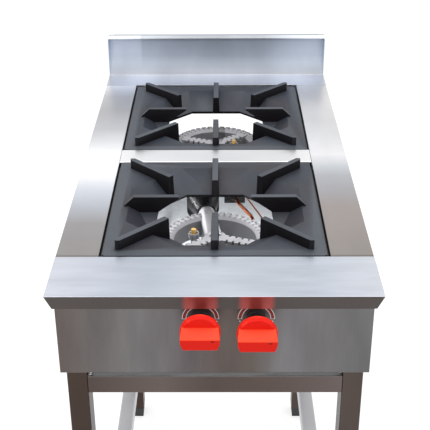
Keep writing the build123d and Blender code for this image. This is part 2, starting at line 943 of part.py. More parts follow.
def front_pilot_tip():
    """The brass nozzle inside the pilot's cup."""
    tip_top = hob_height - pilot_tip_drop
    tip_bottom = tip_top - pilot_cup_height + pilot_cup_wall
    place = (-pilot_left, front_grate_y + pilot_back)
    stem = rod_along_z(pilot_tip_radius, *place, (tip_bottom, tip_top))
    top_edge = stem.edges().sort_by(Axis.Z)[-1]
    return chamfer(top_edge, pilot_tip_cone, pilot_tip_radius / 2)


# ---------------------------------------------------------------- gas pipes
def gas_manifold():
    """The pipe behind the panel, with an end cap and the two pilot take-offs."""
    span = (-manifold_left_reach, inlet_pipe_x - elbow_radius)
    pipe = rod_along_x(pipe_radius, span, manifold_y, pipe_z)
    bore_span = (-manifold_left_reach + manifold_cap_length, span[1])
    bore = rod_along_x(pipe_radius - pipe_wall, bore_span, manifold_y, pipe_z)
    for takeoff_x in (front_pilot_takeoff_x, rear_pilot_takeoff_x):
        pipe += rod_along_y(takeoff_radius, takeoff_x, (manifold_y, takeoff_end), pipe_z)
        bore += rod_along_y(
            pilot_pipe_radius - pilot_pipe_wall, takeoff_x, (manifold_y, takeoff_end), pipe_z
        )
    return pipe - bore


def supply_elbow():
    """The elbow that joins the manifold to the supply pipe."""
    along_x = (inlet_pipe_x - elbow_arm, inlet_pipe_x)
    along_y = (manifold_y, manifold_y + elbow_arm)
    body = rod_along_x(elbow_radius, along_x, manifold_y, pipe_z)
    body += rod_along_y(elbow_radius, inlet_pipe_x, along_y, pipe_z)
    body += Pos(inlet_pipe_x, manifold_y, pipe_z) * Sphere(elbow_radius)
    fit_radius = pipe_radius + fitting_gap
    seat_x = rod_along_x(fit_radius, (along_x[0], inlet_pipe_x - elbow_radius), manifold_y, pipe_z)
    seat_y = rod_along_y(fit_radius, inlet_pipe_x, (manifold_y + elbow_radius, along_y[1]), pipe_z)
    bore_radius = pipe_radius - pipe_wall
    bore = rod_along_x(bore_radius, along_x, manifold_y, pipe_z)
    bore += rod_along_y(bore_radius, inlet_pipe_x, along_y, pipe_z)
    return body - seat_x - seat_y - bore


def supply_pipe():
    """The pipe along the right side, from the elbow to the inlet at the back."""
    span = (manifold_y + elbow_radius, inlet_end - socket_thread_length)
    outer = rod_along_y(pipe_radius, inlet_pipe_x, span, pipe_z)
    return outer - rod_along_y(pipe_radius - pipe_wall, inlet_pipe_x, span, pipe_z)


def gas_inlet():
    """The socket on the end of the supply pipe, threaded for the gas connection."""
    start = inlet_end - socket_length
    body = rod_along_y(socket_radius, inlet_pipe_x, (start, inlet_end), pipe_z)
    pipe_end = inlet_end - socket_thread_length
    fit = rod_along_y(pipe_radius + fitting_gap, inlet_pipe_x, (start, pipe_end), pipe_z)
    thread = rod_along_y(socket_thread_radius, inlet_pipe_x, (pipe_end, inlet_end), pipe_z)
    return body - fit - thread


def bent_pipe(points, radius, wall, bends):
    """A hollow pipe along straight runs joined by tangent arcs, one bend radius per corner."""
    path = FilletPolyline(*points, radius=bends)
    start = Plane(origin=path @ 0, z_dir=path % 0)
    return sweep(start * (Circle(radius) - Circle(radius - wall)), path=path)


def front_injector_point(distance):
    """A point on the front injector's axis, a distance behind its gas end."""
    reach = injector_end + distance
    angle = math.radians(feed_angle)
    return (-reach * math.sin(angle), front_grate_y + reach * math.cos(angle), feed_axis_z)


def rear_injector_point(distance):
    """The same for the rear injector."""
    x, y, z = front_injector_point(distance)
    return (-x, 2 * middle_y - y, z)


def front_feed_points():
    """Route from the left valve, back under the left side, and round to the front injector."""
    entry = front_injector_point(feed_entry_length)
    turn_y = entry[1] + feed_return_room / 2
    return [
        (left_valve_x, feed_outlet_y, valve_z),
        (left_valve_x, feed_outlet_y + feed_straight, valve_z),
        (-feed_side_run, front + pilot_run_start, pipe_run_z),
        (-feed_side_run, turn_y - feed_return_room, pipe_run_z),
        ((entry[0] - feed_side_run) / 2, turn_y, (pipe_run_z + entry[2]) / 2),
        entry,
        front_injector_point(0),
    ]


def rear_feed_points():
    """Route from the right valve, under the front burner, and up to the rear injector."""
    injector_y = rear_injector_point(0)[1]
    return [
        (right_valve_x, feed_outlet_y, valve_z),
        (right_valve_x, feed_outlet_y + feed_straight, valve_z),
        (rear_feed_run_x, front + pilot_run_start, pipe_run_z),
        (rear_feed_run_x, front_grate_y + rear_feed_climb_start, pipe_run_z),
        (rear_feed_run_x, injector_y - rear_feed_climb_length, hob_height - rear_feed_climb_drop),
        rear_injector_point(rear_feed_entry_length),
        rear_injector_point(0),
    ]


def front_pilot_points():
    """Route from the manifold to the foot of the front pilot."""
    pilot_y = front_grate_y + pilot_back
    return [
        (front_pilot_takeoff_x, takeoff_end, pipe_z),
        (front_pilot_takeoff_x, takeoff_end + pilot_straight, pipe_z),
        (-pilot_left, front + pilot_run_start, pipe_run_z),
        (-pilot_left, pilot_y, pipe_run_z),
        (-pilot_left, pilot_y, burner_base - pilot_stem_length),
    ]


def rear_pilot_points():
    """Route from the manifold, back along the right side, to the foot of the rear pilot."""
    pilot_y = rear_grate_y - pilot_back
    return [
        (rear_pilot_takeoff_x, takeoff_end, pipe_z),
        (rear_pilot_takeoff_x, takeoff_end + pilot_straight, pipe_z),
        (rear_pilot_run_x, front + pilot_run_start, pipe_run_z),
        (rear_pilot_run_x, front_grate_y + rear_pilot_turn, pipe_run_z),
        (rear_pilot_bend_x, pilot_y - rear_pilot_bend, pipe_run_z),
        (pilot_left, pilot_y, pipe_run_z),
        (pilot_left, pilot_y, burner_base - pilot_stem_length),
    ]


def feed_pipe(points):
    """A copper burner feed pipe along a route."""
    bends = [feed_bend_radius] * (len(points) - 2)
    return bent_pipe(points, feed_pipe_radius, feed_pipe_wall, bends)


def pilot_pipe(points):
    """A thin copper pilot pipe along a route."""
    bends = [pilot_bend_radius] * (len(points) - 2)
    return bent_pipe(points, pilot_pipe_radius, pilot_pipe_wall, bends)


# ---------------------------------------------------------------- valves and knobs
def valve_body(valve_x):
    """The barrel behind the panel, its saddle on the manifold and its outlet."""
    barrel = rod_along_y(valve_barrel_radius, valve_x, (panel_inner, barrel_end), valve_z)
    saddle_top = pipe_z + valve_saddle_height
    neck = rod_along_z(valve_neck_radius, valve_x, manifold_y, (pipe_z, valve_z))
    saddle = block(
        around(valve_x, valve_saddle_width),
        around(manifold_y, valve_saddle_depth),
        (pipe_z, saddle_top),
    )
    outlet = rod_along_y(valve_outlet_radius, valve_x, (barrel_end, feed_outlet_y), valve_z)
    pipe_room = rod_along_x(
        pipe_radius + valve_saddle_gap, around(valve_x, valve_saddle_width), manifold_y, pipe_z
    )
    chamber = rod_along_y(valve_chamber_radius, valve_x, (chamber_front, chamber_end), valve_z)
    spindle_hole = rod_along_y(
        spindle_radius + free_clearance, valve_x, (panel_inner, chamber_front), valve_z
    )
    outlet_bore = rod_along_y(
        feed_pipe_radius - feed_pipe_wall, valve_x, (chamber_end, feed_outlet_y), valve_z
    )
    return barrel + neck + saddle + outlet - pipe_room - chamber - spindle_hole - outlet_bore


def flatted_rod(radius, flat, valve_x, y):
    """A rod with one flat on top, as a spindle and its bores have."""
    rod = rod_along_y(radius, valve_x, y, valve_z)
    flat_cut = block(
        around(valve_x, 2 * radius), y, (valve_z + radius - flat, valve_z + radius)
    )
    return rod - flat_cut


def valve_plug(valve_x):
    """The turning plug at the end of the chamber, driven by the spindle's flat."""
    plug = rod_along_y(
        valve_chamber_radius - running_clearance,
        valve_x,
        (plug_front, chamber_end - running_clearance),
        valve_z,
    )
    socket_depth = spindle_engagement + press_travel + press_stop_gap
    socket = flatted_rod(
        spindle_radius + running_clearance,
        spindle_flat,
        valve_x,
        (plug_front, plug_front + socket_depth),
    )
    return plug - socket


def knob_back(standoff):
    """The y position of a knob's back face."""
    return panel_face - standoff


def valve_spindle(valve_x, standoff):
    """The flatted spindle from the plug, through the panel, into the knob."""
    knob_end = knob_back(standoff) - knob_bore_depth + press_stop_gap
    rod = flatted_rod(spindle_radius, spindle_flat, valve_x, (knob_end, plug_front + spindle_engagement))
    flange_start = chamber_front + running_clearance
    flange = rod_along_y(
        spindle_flange_radius, valve_x, (flange_start, flange_start + spindle_flange_length), valve_z
    )
    return rod + flange


def bezel(valve_x):
    """The black collar on the panel round a spindle."""
    flange = rod_along_y(
        collar_flange_radius, valve_x, (panel_face - collar_flange_thickness, panel_face), valve_z
    )
    sleeve = rod_along_y(collar_sleeve_radius, valve_x, (panel_face, panel_inner), valve_z)
    bore = rod_along_y(
        spindle_radius + free_clearance,
        valve_x,
        (panel_face - collar_flange_thickness, panel_inner),
        valve_z,
    )
    return flange + sleeve - bore


def knob_insert(valve_x, standoff):
    """The black hub behind a knob, round the spindle."""
    span = (knob_back(standoff), panel_face - insert_front_room)
    hub = rod_along_y(knob_insert_radius, valve_x, span, valve_z)
    return hub - flatted_rod(spindle_radius + knob_bore_gap, spindle_flat, valve_x, span)


def knob(valve_x, standoff):
    """A round skirt with a raised grip, flat underneath, whose top slopes outward."""
    rear = knob_back(standoff)
    skirt_front = rear - knob_skirt_thickness
    grip_front = skirt_front - knob_grip_depth
    skirt = rod_along_y(knob_radius, valve_x, (skirt_front, rear), valve_z)
    skirt = chamfer(skirt.edges().sort_by(Axis.Y)[0], knob_skirt_bevel)
    grip_round = rod_along_y(knob_radius - knob_grip_inset, valve_x, (grip_front, rear), valve_z)
    side = [
        (rear, valve_z - knob_chord_drop),
        (grip_front, valve_z - knob_chord_drop),
        (grip_front, valve_z + knob_ramp_foot),
        (skirt_front, valve_z + knob_ramp_top),
        (rear, valve_z + knob_ramp_top),
    ]
    grip = grip_round & prism_along_x(side, around(valve_x, 2 * knob_radius))
    grip = fillet(grip.edges().group_by(Axis.Y)[0], knob_edge_radius)
    bore = flatted_rod(
        spindle_radius + knob_bore_gap, spindle_flat, valve_x, (rear - knob_bore_depth, rear)
    )
    return skirt + grip - bore


# ---------------------------------------------------------------- fasteners
def hanger_bolt():
    """The bolt and nut that hold the front injector's hanger to the cross member."""
    head = (hanger_front - bolt_head_height, hanger_front)
    nut = (cross_strip_back, cross_strip_back + bolt_head_height)
    shank = (hanger_front, nut[1])
    bolt = rod_along_y(bolt_radius, hanger_x, shank, hanger_bolt_z)
    bolt += rod_along_y(bolt_head_radius, hanger_x, head, hanger_bolt_z)
    bolt += rod_along_y(bolt_head_radius, hanger_x, nut, hanger_bolt_z)
    return bolt


def left_runner_screws():
    """The screws through the left runner into the left rail."""
    inner = -leg_inside + runner_sheet
    tip = -leg_inside - tube_wall - bolt_end_length
    screws = []
    for y in screw_places():
        screw = rod_along_x(bolt_radius, (tip, inner), y, runner_screw_z)
        screw += rod_along_x(bolt_head_radius, (inner, inner + bolt_head_height), y, runner_screw_z)
        screws.append(screw)
    return screws


def fasteners():
    """Every bolt and screw, as separate solids."""
    bolt = hanger_bolt()
    screws = left_runner_screws()
    solids = [bolt, half_turned(bolt)] + screws + [mirrored(screw) for screw in screws]
    return Compound(children=solids)


# ---------------------------------------------------------------- the whole range
def stand_pieces():
    """Legs, feet, soles, rails, stretchers, runners and tray."""
    front_y = (leg_front, rail_front)
    rear_y = (rail_back, leg_back)
    pieces = {}
    feet = []
    soles = []
    for end, leg_y in (("front", front_y), ("rear", rear_y)):
        leg = left_leg(leg_y)
        foot = left_foot(leg_y)
        sole = left_sole(leg_y)
        pieces[f"{end}_left_leg"] = leg
        pieces[f"{end}_right_leg"] = mirrored(leg)
        feet += [foot, mirrored(foot)]
        soles += [sole, mirrored(sole)]
    pieces["leg_feet"] = Compound(children=feet)
    pieces["foot_soles"] = Compound(children=soles)
    pieces["front_upper_rail"] = cross_rail((leg_front, leg_front + tube_size))
    pieces["rear_upper_rail"] = cross_rail((leg_back - tube_size, leg_back))
    for name, piece in (
        ("upper_rail", left_upper_rail()),
        ("lower_stretcher", left_lower_stretcher()),
        ("tray_runner", left_tray_runner()),
    ):
        pieces[f"left_{name}"] = piece
        pieces[f"right_{name}"] = mirrored(piece)
    pieces["drip_tray"] = drip_tray()
    return pieces


def hob_pieces():
    """The hob's sheets, its cross member, the grates and the body panels."""
    side_strip = left_side_strip()
    side_panel = left_side_panel()
    return {
        "front_landing": front_landing(),
        "left_side_strip": side_strip,
        "right_side_strip": mirrored(side_strip),
        "rear_splashback": rear_splashback(),
        "splash_back_plate": splash_back_plate(),
        "cross_strip": cross_strip(),
        "mid_cross_member": mid_cross_member(),
        "front_grate": placed_grate(front_grate_y),
        "rear_grate": placed_grate(rear_grate_y),
        "control_panel": control_panel(),
        "left_side_panel": side_panel,
        "right_side_panel": mirrored(side_panel),
    }


def burner_pieces():
    """Both burners with what feeds and carries them; the rear set is turned half round.

    Small pieces that are the same at both burners share one node as separate solids.
    """
    front_set = {
        "ring_burner": at_front_burner(ring_burner()),
        "mixer": at_front_burner(mixer()),
        "injector": at_front_burner(injector()),
        "pilot": front_pilot(),
    }
    paired_set = {
        "burner_supports": front_burner_support(),
        "injector_hangers": front_injector_hanger(),
        "pilot_tips": front_pilot_tip(),
    }
    pieces = {}
    for name, piece in front_set.items():
        pieces[f"front_{name}"] = piece
        pieces[f"rear_{name}"] = half_turned(piece)
    for name, piece in paired_set.items():
        pieces[name] = Compound(children=[piece, half_turned(piece)])
    return pieces


def gas_pieces():
    """Manifold, supply pipe, copper pipes, valves and knobs."""
    pieces = {
        "gas_manifold": gas_manifold(),
        "supply_elbow": supply_elbow(),
        "supply_pipe": supply_pipe(),
        "gas_inlet": gas_inlet(),
        "front_feed_pipe": feed_pipe(front_feed_points()),
        "rear_feed_pipe": feed_pipe(rear_feed_points()),
        "front_pilot_pipe": pilot_pipe(front_pilot_points()),
        "rear_pilot_pipe": pilot_pipe(rear_pilot_points()),
    }
    right_standoff = knob_standoff + right_knob_extra_standoff
    for side, valve_x, standoff in (
        ("left", left_valve_x, knob_standoff),
        ("right", right_valve_x, right_standoff),
    ):
        pieces[f"{side}_valve_body"] = valve_body(valve_x)
        pieces[f"{side}_valve_plug"] = valve_plug(valve_x)
        pieces[f"{side}_valve_spindle"] = valve_spindle(valve_x, standoff)
        pieces[f"{side}_bezel"] = bezel(valve_x)
        pieces[f"{side}_knob_insert"] = knob_insert(valve_x, standoff)
        pieces[f"{side}_knob"] = knob(valve_x, standoff)
    return pieces


os.makedirs("parts", exist_ok=True)
range_pieces = {**hob_pieces(), **stand_pieces(), **burner_pieces(), **gas_pieces()}
range_pieces["fasteners"] = fasteners()
for node, piece in range_pieces.items():
    export_step(piece, f"parts/{node}.step")
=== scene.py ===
"""Looks of a two-burner stock pot range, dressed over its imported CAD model.

Everything is in metres, in the frame of the CAD model: x to the right, y to the back, z up.
"""

import json
import logging
import math
from dataclasses import dataclass, field
from enum import Enum
from functools import reduce
from typing import Callable, Iterable, Sequence

import bmesh
import bpy
from mathutils import Matrix, Vector

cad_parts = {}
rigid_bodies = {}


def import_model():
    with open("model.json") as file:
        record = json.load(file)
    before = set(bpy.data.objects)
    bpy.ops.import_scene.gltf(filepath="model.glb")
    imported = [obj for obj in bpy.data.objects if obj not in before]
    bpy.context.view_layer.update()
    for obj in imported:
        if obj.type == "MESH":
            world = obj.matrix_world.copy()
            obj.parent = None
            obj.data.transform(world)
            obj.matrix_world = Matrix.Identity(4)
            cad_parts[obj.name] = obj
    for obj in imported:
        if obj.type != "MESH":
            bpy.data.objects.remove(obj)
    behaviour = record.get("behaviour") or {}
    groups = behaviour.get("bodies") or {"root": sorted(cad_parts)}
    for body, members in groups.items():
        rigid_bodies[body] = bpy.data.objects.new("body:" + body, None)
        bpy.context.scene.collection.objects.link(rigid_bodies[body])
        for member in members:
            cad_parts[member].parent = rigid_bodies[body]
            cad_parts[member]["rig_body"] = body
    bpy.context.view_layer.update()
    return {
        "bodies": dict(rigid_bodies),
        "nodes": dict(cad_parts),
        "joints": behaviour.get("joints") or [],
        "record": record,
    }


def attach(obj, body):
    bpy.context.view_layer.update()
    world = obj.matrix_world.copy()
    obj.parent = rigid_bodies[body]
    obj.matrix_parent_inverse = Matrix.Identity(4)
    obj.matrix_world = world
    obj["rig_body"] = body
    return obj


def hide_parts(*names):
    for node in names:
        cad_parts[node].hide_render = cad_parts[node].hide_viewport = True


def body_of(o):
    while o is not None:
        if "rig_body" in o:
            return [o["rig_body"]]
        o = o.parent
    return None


log = logging.getLogger("stock_pot_range")

MM = 0.001

Node = bpy.types.Node
Socket = bpy.types.NodeSocket
Tree = bpy.types.NodeTree
Material = bpy.types.Material
Piece = bpy.types.Object
Edit = bmesh.types.BMesh
Colour = tuple[float, float, float, float]
Stops = tuple[tuple[float, Colour], ...]
# Where a mask starts to count, and where it counts in full.
Fade = tuple[float, float]
Pair = tuple[float, float]
Triple = tuple[float, float, float]


def tone(red: float, green: float, blue: float) -> Colour:
    """A colour as seen on screen, each channel from 0 to 255, as linear light with an alpha of 1."""
    shares = (red / 255, green / 255, blue / 255)
    return (*(s / 12.92 if s <= 0.04045 else ((s + 0.055) / 1.055) ** 2.4 for s in shares), 1.0)


def shades(*rows: tuple[float, float, float, float]) -> Stops:
    """Stops of a ramp, from rows of a place from 0 to 1 and a tone's red, green and blue."""
    return tuple((place, tone(red, green, blue)) for place, red, green, blue in rows)


class Axis(Enum):
    """The direction in which a brushed sheet's scratches run, or a tone changes."""

    X = 0
    Y = 1
    Z = 2

    def stretched(self, fine: float, long: float) -> list[float]:
        """Waves per metre on each axis: long ones along this axis, fine ones across it."""
        return [long if index == self.value else fine for index in range(3)]


# Material tools


class Wiring:
    """Adds nodes to one node tree and joins them."""

    def __init__(self, tree: Tree) -> None:
        """Keeps the tree that the nodes go into."""
        self.tree = tree

    def add(self, kind: str, **settings: object) -> Node:
        """Adds a node.

        Args:
            kind: The node's type without the ShaderNode prefix.
            **settings: Properties of the node.

        Returns:
            The new node.
        """
        node = self.tree.nodes.new("ShaderNode" + kind)
        for name, value in settings.items():
            setattr(node, name, value)
        return node

    def feed(self, socket: Socket, value: object) -> None:
        """Joins an output to a socket, or writes a plain value on it.

        Args:
            socket: The input.
            value: An output or a plain value.
        """
        if isinstance(value, Socket):
            self.tree.links.new(value, socket)
        else:
            socket.default_value = value

    def fill(self, node: Node, *values: object, **named: object) -> Node:
        """Feeds a node's inputs.

        Args:
            node: The node.
            *values: Values or outputs for its first inputs, in order.
            **named: Values or outputs for inputs by name, spaces written as underscores.

        Returns:
            The same node.
        """
        for socket, value in zip(node.inputs, values):
            self.feed(socket, value)
        for name, value in named.items():
            self.feed(node.inputs[name.replace("_", " ")], value)
        return node

    def math(self, operation: str, first: object, second: object = 0.0) -> Socket:
        """One arithmetic step on two outputs or numbers."""
        return self.fill(self.add("Math", operation=operation), first, second).outputs[0]

    def plus(self, *values: object) -> Socket:
        """The sum of outputs or numbers."""
        return reduce(lambda first, second: self.math("ADD", first, second), values)

    def times(self, *values: object) -> Socket:
        """The product of outputs or numbers."""
        return reduce(lambda first, second: self.math("MULTIPLY", first, second), values)

    def away(self, value: object, place: object) -> Socket:
        """How far a value lies from a place, on either side."""
        return self.math("ABSOLUTE", self.math("SUBTRACT", value, place))

    def clamp(self, value: object) -> Socket:
        """A value kept between 0 and 1."""
        return self.fill(self.add("Clamp"), Value=value).outputs[0]

    def span(self, value: object, low: float, high: float) -> Socket:
        """A mask of 0 to 1 stretched to run from low to high."""
        return self.fill(self.add("MapRange"), Value=value, To_Min=low, To_Max=high).outputs[0]

    def window(self, value: object, start: float, end: float) -> Socket:
        """A mask that rises smoothly from 0 at start to 1 at end."""
        node = self.add("MapRange", interpolation_type="SMOOTHSTEP")
        return self.fill(node, Value=value, From_Min=start, From_Max=end).outputs[0]

    def within(self, *edges: tuple[object, float, float]) -> Socket:
        """1 where the window on every edge is 1, each edge a value, a start and an end."""
        return self.times(*(self.window(*edge) for edge in edges))

    def ramp(self, factor: object, stops: Stops) -> Socket:
        """Colours spread along a factor of 0 to 1.

        Args:
            factor: The output that picks the colour.
            stops: Pairs of place and colour, in rising order.

        Returns:
            The colour output.
        """
        node = self.add("ValToRGB")
        line = node.color_ramp
        for index, (place, colour) in enumerate(stops):
            stop = line.elements[index] if index < 2 else line.elements.new(place)
            stop.position = place
            stop.color = colour
        self.feed(node.inputs[0], factor)
        return node.outputs[0]

    def blend(self, factor: object, first: object, second: object) -> Socket:
        """A mix of two colours.

        Args:
            factor: How much of the second colour there is, from 0 to 1.
            first: The colour at 0.
            second: The colour at 1.

        Returns:
            The colour output.
        """
        node = self.add("Mix", data_type="RGBA")
        self.feed(node.inputs[0], factor)
        self.feed(node.inputs[6], first)
        self.feed(node.inputs[7], second)
        return node.outputs[2]

    def dim(self, colour: object, level: object) -> Socket:
        """A colour made darker or lighter by a level around 1."""
        node = self.add("VectorMath", operation="SCALE")
        return self.fill(node, Vector=colour, Scale=level).outputs[0]

    def place(self, scale: float | Sequence[float] = 1.0) -> Socket:
        """Object coordinates, scaled.

        Args:
            scale: The factor on each axis, or one for all.

        Returns:
            The coordinates' output.
        """
        factors = (scale,) * 3 if isinstance(scale, (int, float)) else scale
        source = self.add("TexCoord").outputs["Object"]
        return self.fill(self.add("Mapping"), Vector=source, Scale=factors).outputs[0]

    def split(self, vector: Socket) -> Sequence[Socket]:
        """A vector's x, y and z."""
        return self.fill(self.add("SeparateXYZ"), Vector=vector).outputs

    def point(self) -> Sequence[Socket]:
        """The x, y and z of a point in the frame."""
        return self.split(self.place())

    def along(self, axis: Axis, start: float, end: float) -> Socket:
        """Where a point lies between two places on an axis, from 0 to 1."""
        value = self.point()[axis.value]
        return self.fill(self.add("MapRange"), Value=value, From_Min=start, From_Max=end).outputs[0]

    def facing(self, axis: Axis) -> Socket:
        """How far the surface faces along an axis, from -1 to 1."""
        return self.split(self.add("TexCoord").outputs["Normal"])[axis.value]

    def noise(self, vector: object, scale: float, detail: float, rough: float) -> Socket:
        """Soft noise of 0 to 1, with its waves per metre, its octaves and how strong the finer ones are."""
        node = self.add("TexNoise", noise_dimensions="3D")
        return self.fill(node, Vector=vector, Scale=scale, Detail=detail, Roughness=rough).outputs["Fac"]

    def relief(self, height: Socket, depth: float, strength: float) -> Socket:
        """A bump's normal, where a height of 1 stands for a depth in metres."""
        return self.fill(self.add("Bump"), Strength=strength, Distance=depth, Height=height).outputs[0]

    def use(self, group: Tree, scale: float | Sequence[float], **values: object) -> Sequence[Socket]:
        """Places a shared effect on Object coordinates.

        Args:
            group: The effect's node group.
            scale: The coordinates' factor on each axis, or one for all.
            **values: Values or outputs for its other inputs, spaces written as underscores.

        Returns:
            The group's outputs.
        """
        node = self.add("Group", node_tree=group)
        return self.fill(node, Vector=self.place(scale), **values).outputs


def new_effect(
    name: str, control: str, default: float, outputs: Iterable[str]
) -> tuple[Tree, Wiring, Sequence[Socket], Node]:
    """Starts a shared effect as a shader node group that reads a vector and one control.

    Args:
        name: The group's name.
        control: The control's name.
        default: The control's default.
        outputs: The name of each float output.

    Returns:
        The group, its wiring, what its input node gives and its output node.
    """
    group = bpy.data.node_groups.new(name, "ShaderNodeTree")
    group.interface.new_socket("Vector", in_out="INPUT", socket_type="NodeSocketVector")
    socket = group.interface.new_socket(control, in_out="INPUT", socket_type="NodeSocketFloat")
    socket.default_value = default
    for label in outputs:
        group.interface.new_socket(label, in_out="OUTPUT", socket_type="NodeSocketFloat")
    source = group.nodes.new("NodeGroupInput")
    return group, Wiring(group), source.outputs, group.nodes.new("NodeGroupOutput")


class Effects:
    """The effects that several finishes share, each built once."""

    def __init__(self) -> None:
        """Builds every group."""
        self.grain = self._brushed_grain()
        self.clouds = self._clouds()
        self.cast = self._cast_skin()
        self.wear = self._worn_edges()

    def _brushed_grain(self) -> Tree:
        """Long fine scratches. The vector that comes in is already stretched along them.

        Returns:
            The group, with outputs Streak and Height.
        """
        group, wire, given, sink = new_effect("brushed_grain", "Fine share", 0.45, ("Streak", "Height"))
        broad = wire.noise(given["Vector"], 1.0, 2.0, 0.55)
        fine = wire.noise(given["Vector"], 3.7, 3.0, 0.6)
        node = wire.add("Mix", data_type="FLOAT")
        wire.feed(node.inputs[0], given["Fine share"])
        wire.feed(node.inputs[2], broad)
        wire.feed(node.inputs[3], fine)
        wire.fill(sink, Streak=wire.plus(wire.times(node.outputs[0], 2.2), -0.6), Height=fine)
        return group

    def _clouds(self) -> Tree:
        """Large soft patches, from 0 to 1 about a middle of one half.

        Returns:
            The group, with the output Patch.
        """
        group, wire, given, sink = new_effect("soft_patches", "Contrast", 2.0, ("Patch",))
        patch = wire.noise(given["Vector"], 1.0, 3.0, 0.5)
        spread = wire.times(wire.math("SUBTRACT", patch, 0.5), given["Contrast"])
        wire.fill(sink, Patch=wire.clamp(wire.plus(spread, 0.5)))
        return group

    def _cast_skin(self) -> Tree:
        """The pebbled skin of a sand casting.

        Returns:
            The group, with outputs Mottle and Height.
        """
        group, wire, given, sink = new_effect("cast_skin", "Pits", 0.5, ("Mottle", "Height"))
        swell = wire.noise(given["Vector"], 1.0, 3.0, 0.6)
        grit = wire.noise(given["Vector"], 9.0, 3.0, 0.65)
        cells = wire.fill(wire.add("TexVoronoi", feature="SMOOTH_F1"), Vector=given["Vector"], Scale=7.0)
        pits = wire.times(cells.outputs["Distance"], given["Pits"])
        mottle = wire.plus(wire.times(swell, 0.7), wire.times(grit, 0.3))
        wire.fill(sink, Mottle=mottle, Height=wire.plus(swell, wire.times(grit, 0.6), pits))
        return group

    def _worn_edges(self) -> Tree:
        """Edges that handling has rubbed, and hollows between faces, broken up by noise.

        Returns:
            The group, with outputs Edge and Hollow.
        """
        group, wire, given, sink = new_effect("worn_edges", "Reach", 0.06, ("Edge", "Hollow"))
        rise = wire.math("SUBTRACT", wire.add("NewGeometry").outputs["Pointiness"], 0.5)
        patch = wire.plus(wire.noise(given["Vector"], 1.0, 3.0, 0.6), 0.4)
        edge = wire.math("DIVIDE", rise, given["Reach"])
        hollow = wire.times(edge, -1.0)
        wire.fill(sink, Edge=wire.clamp(wire.times(edge, patch)), Hollow=wire.clamp(wire.times(hollow, patch)))
        return group


def bare_wiring(owner: Material | bpy.types.World) -> Wiring:
    """Empties the node tree of a material or world.

    Args:
        owner: The material or world.

    Returns:
        The empty tree's wiring.
    """
    owner.use_nodes = True
    owner.node_tree.nodes.clear()
    return Wiring(owner.node_tree)


def start_material(name: str) -> tuple[Material, Wiring, Node]:
    """Starts a material with one Principled shader.

    Args:
        name: The material's name.

    Returns:
        The material, its wiring and its shader.
    """
    material = bpy.data.materials.new(name)
    wire = bare_wiring(material)
    shader = wire.add("BsdfPrincipled")
    wire.fill(wire.add("OutputMaterial"), Surface=shader.outputs[0])
    return material, wire, shader


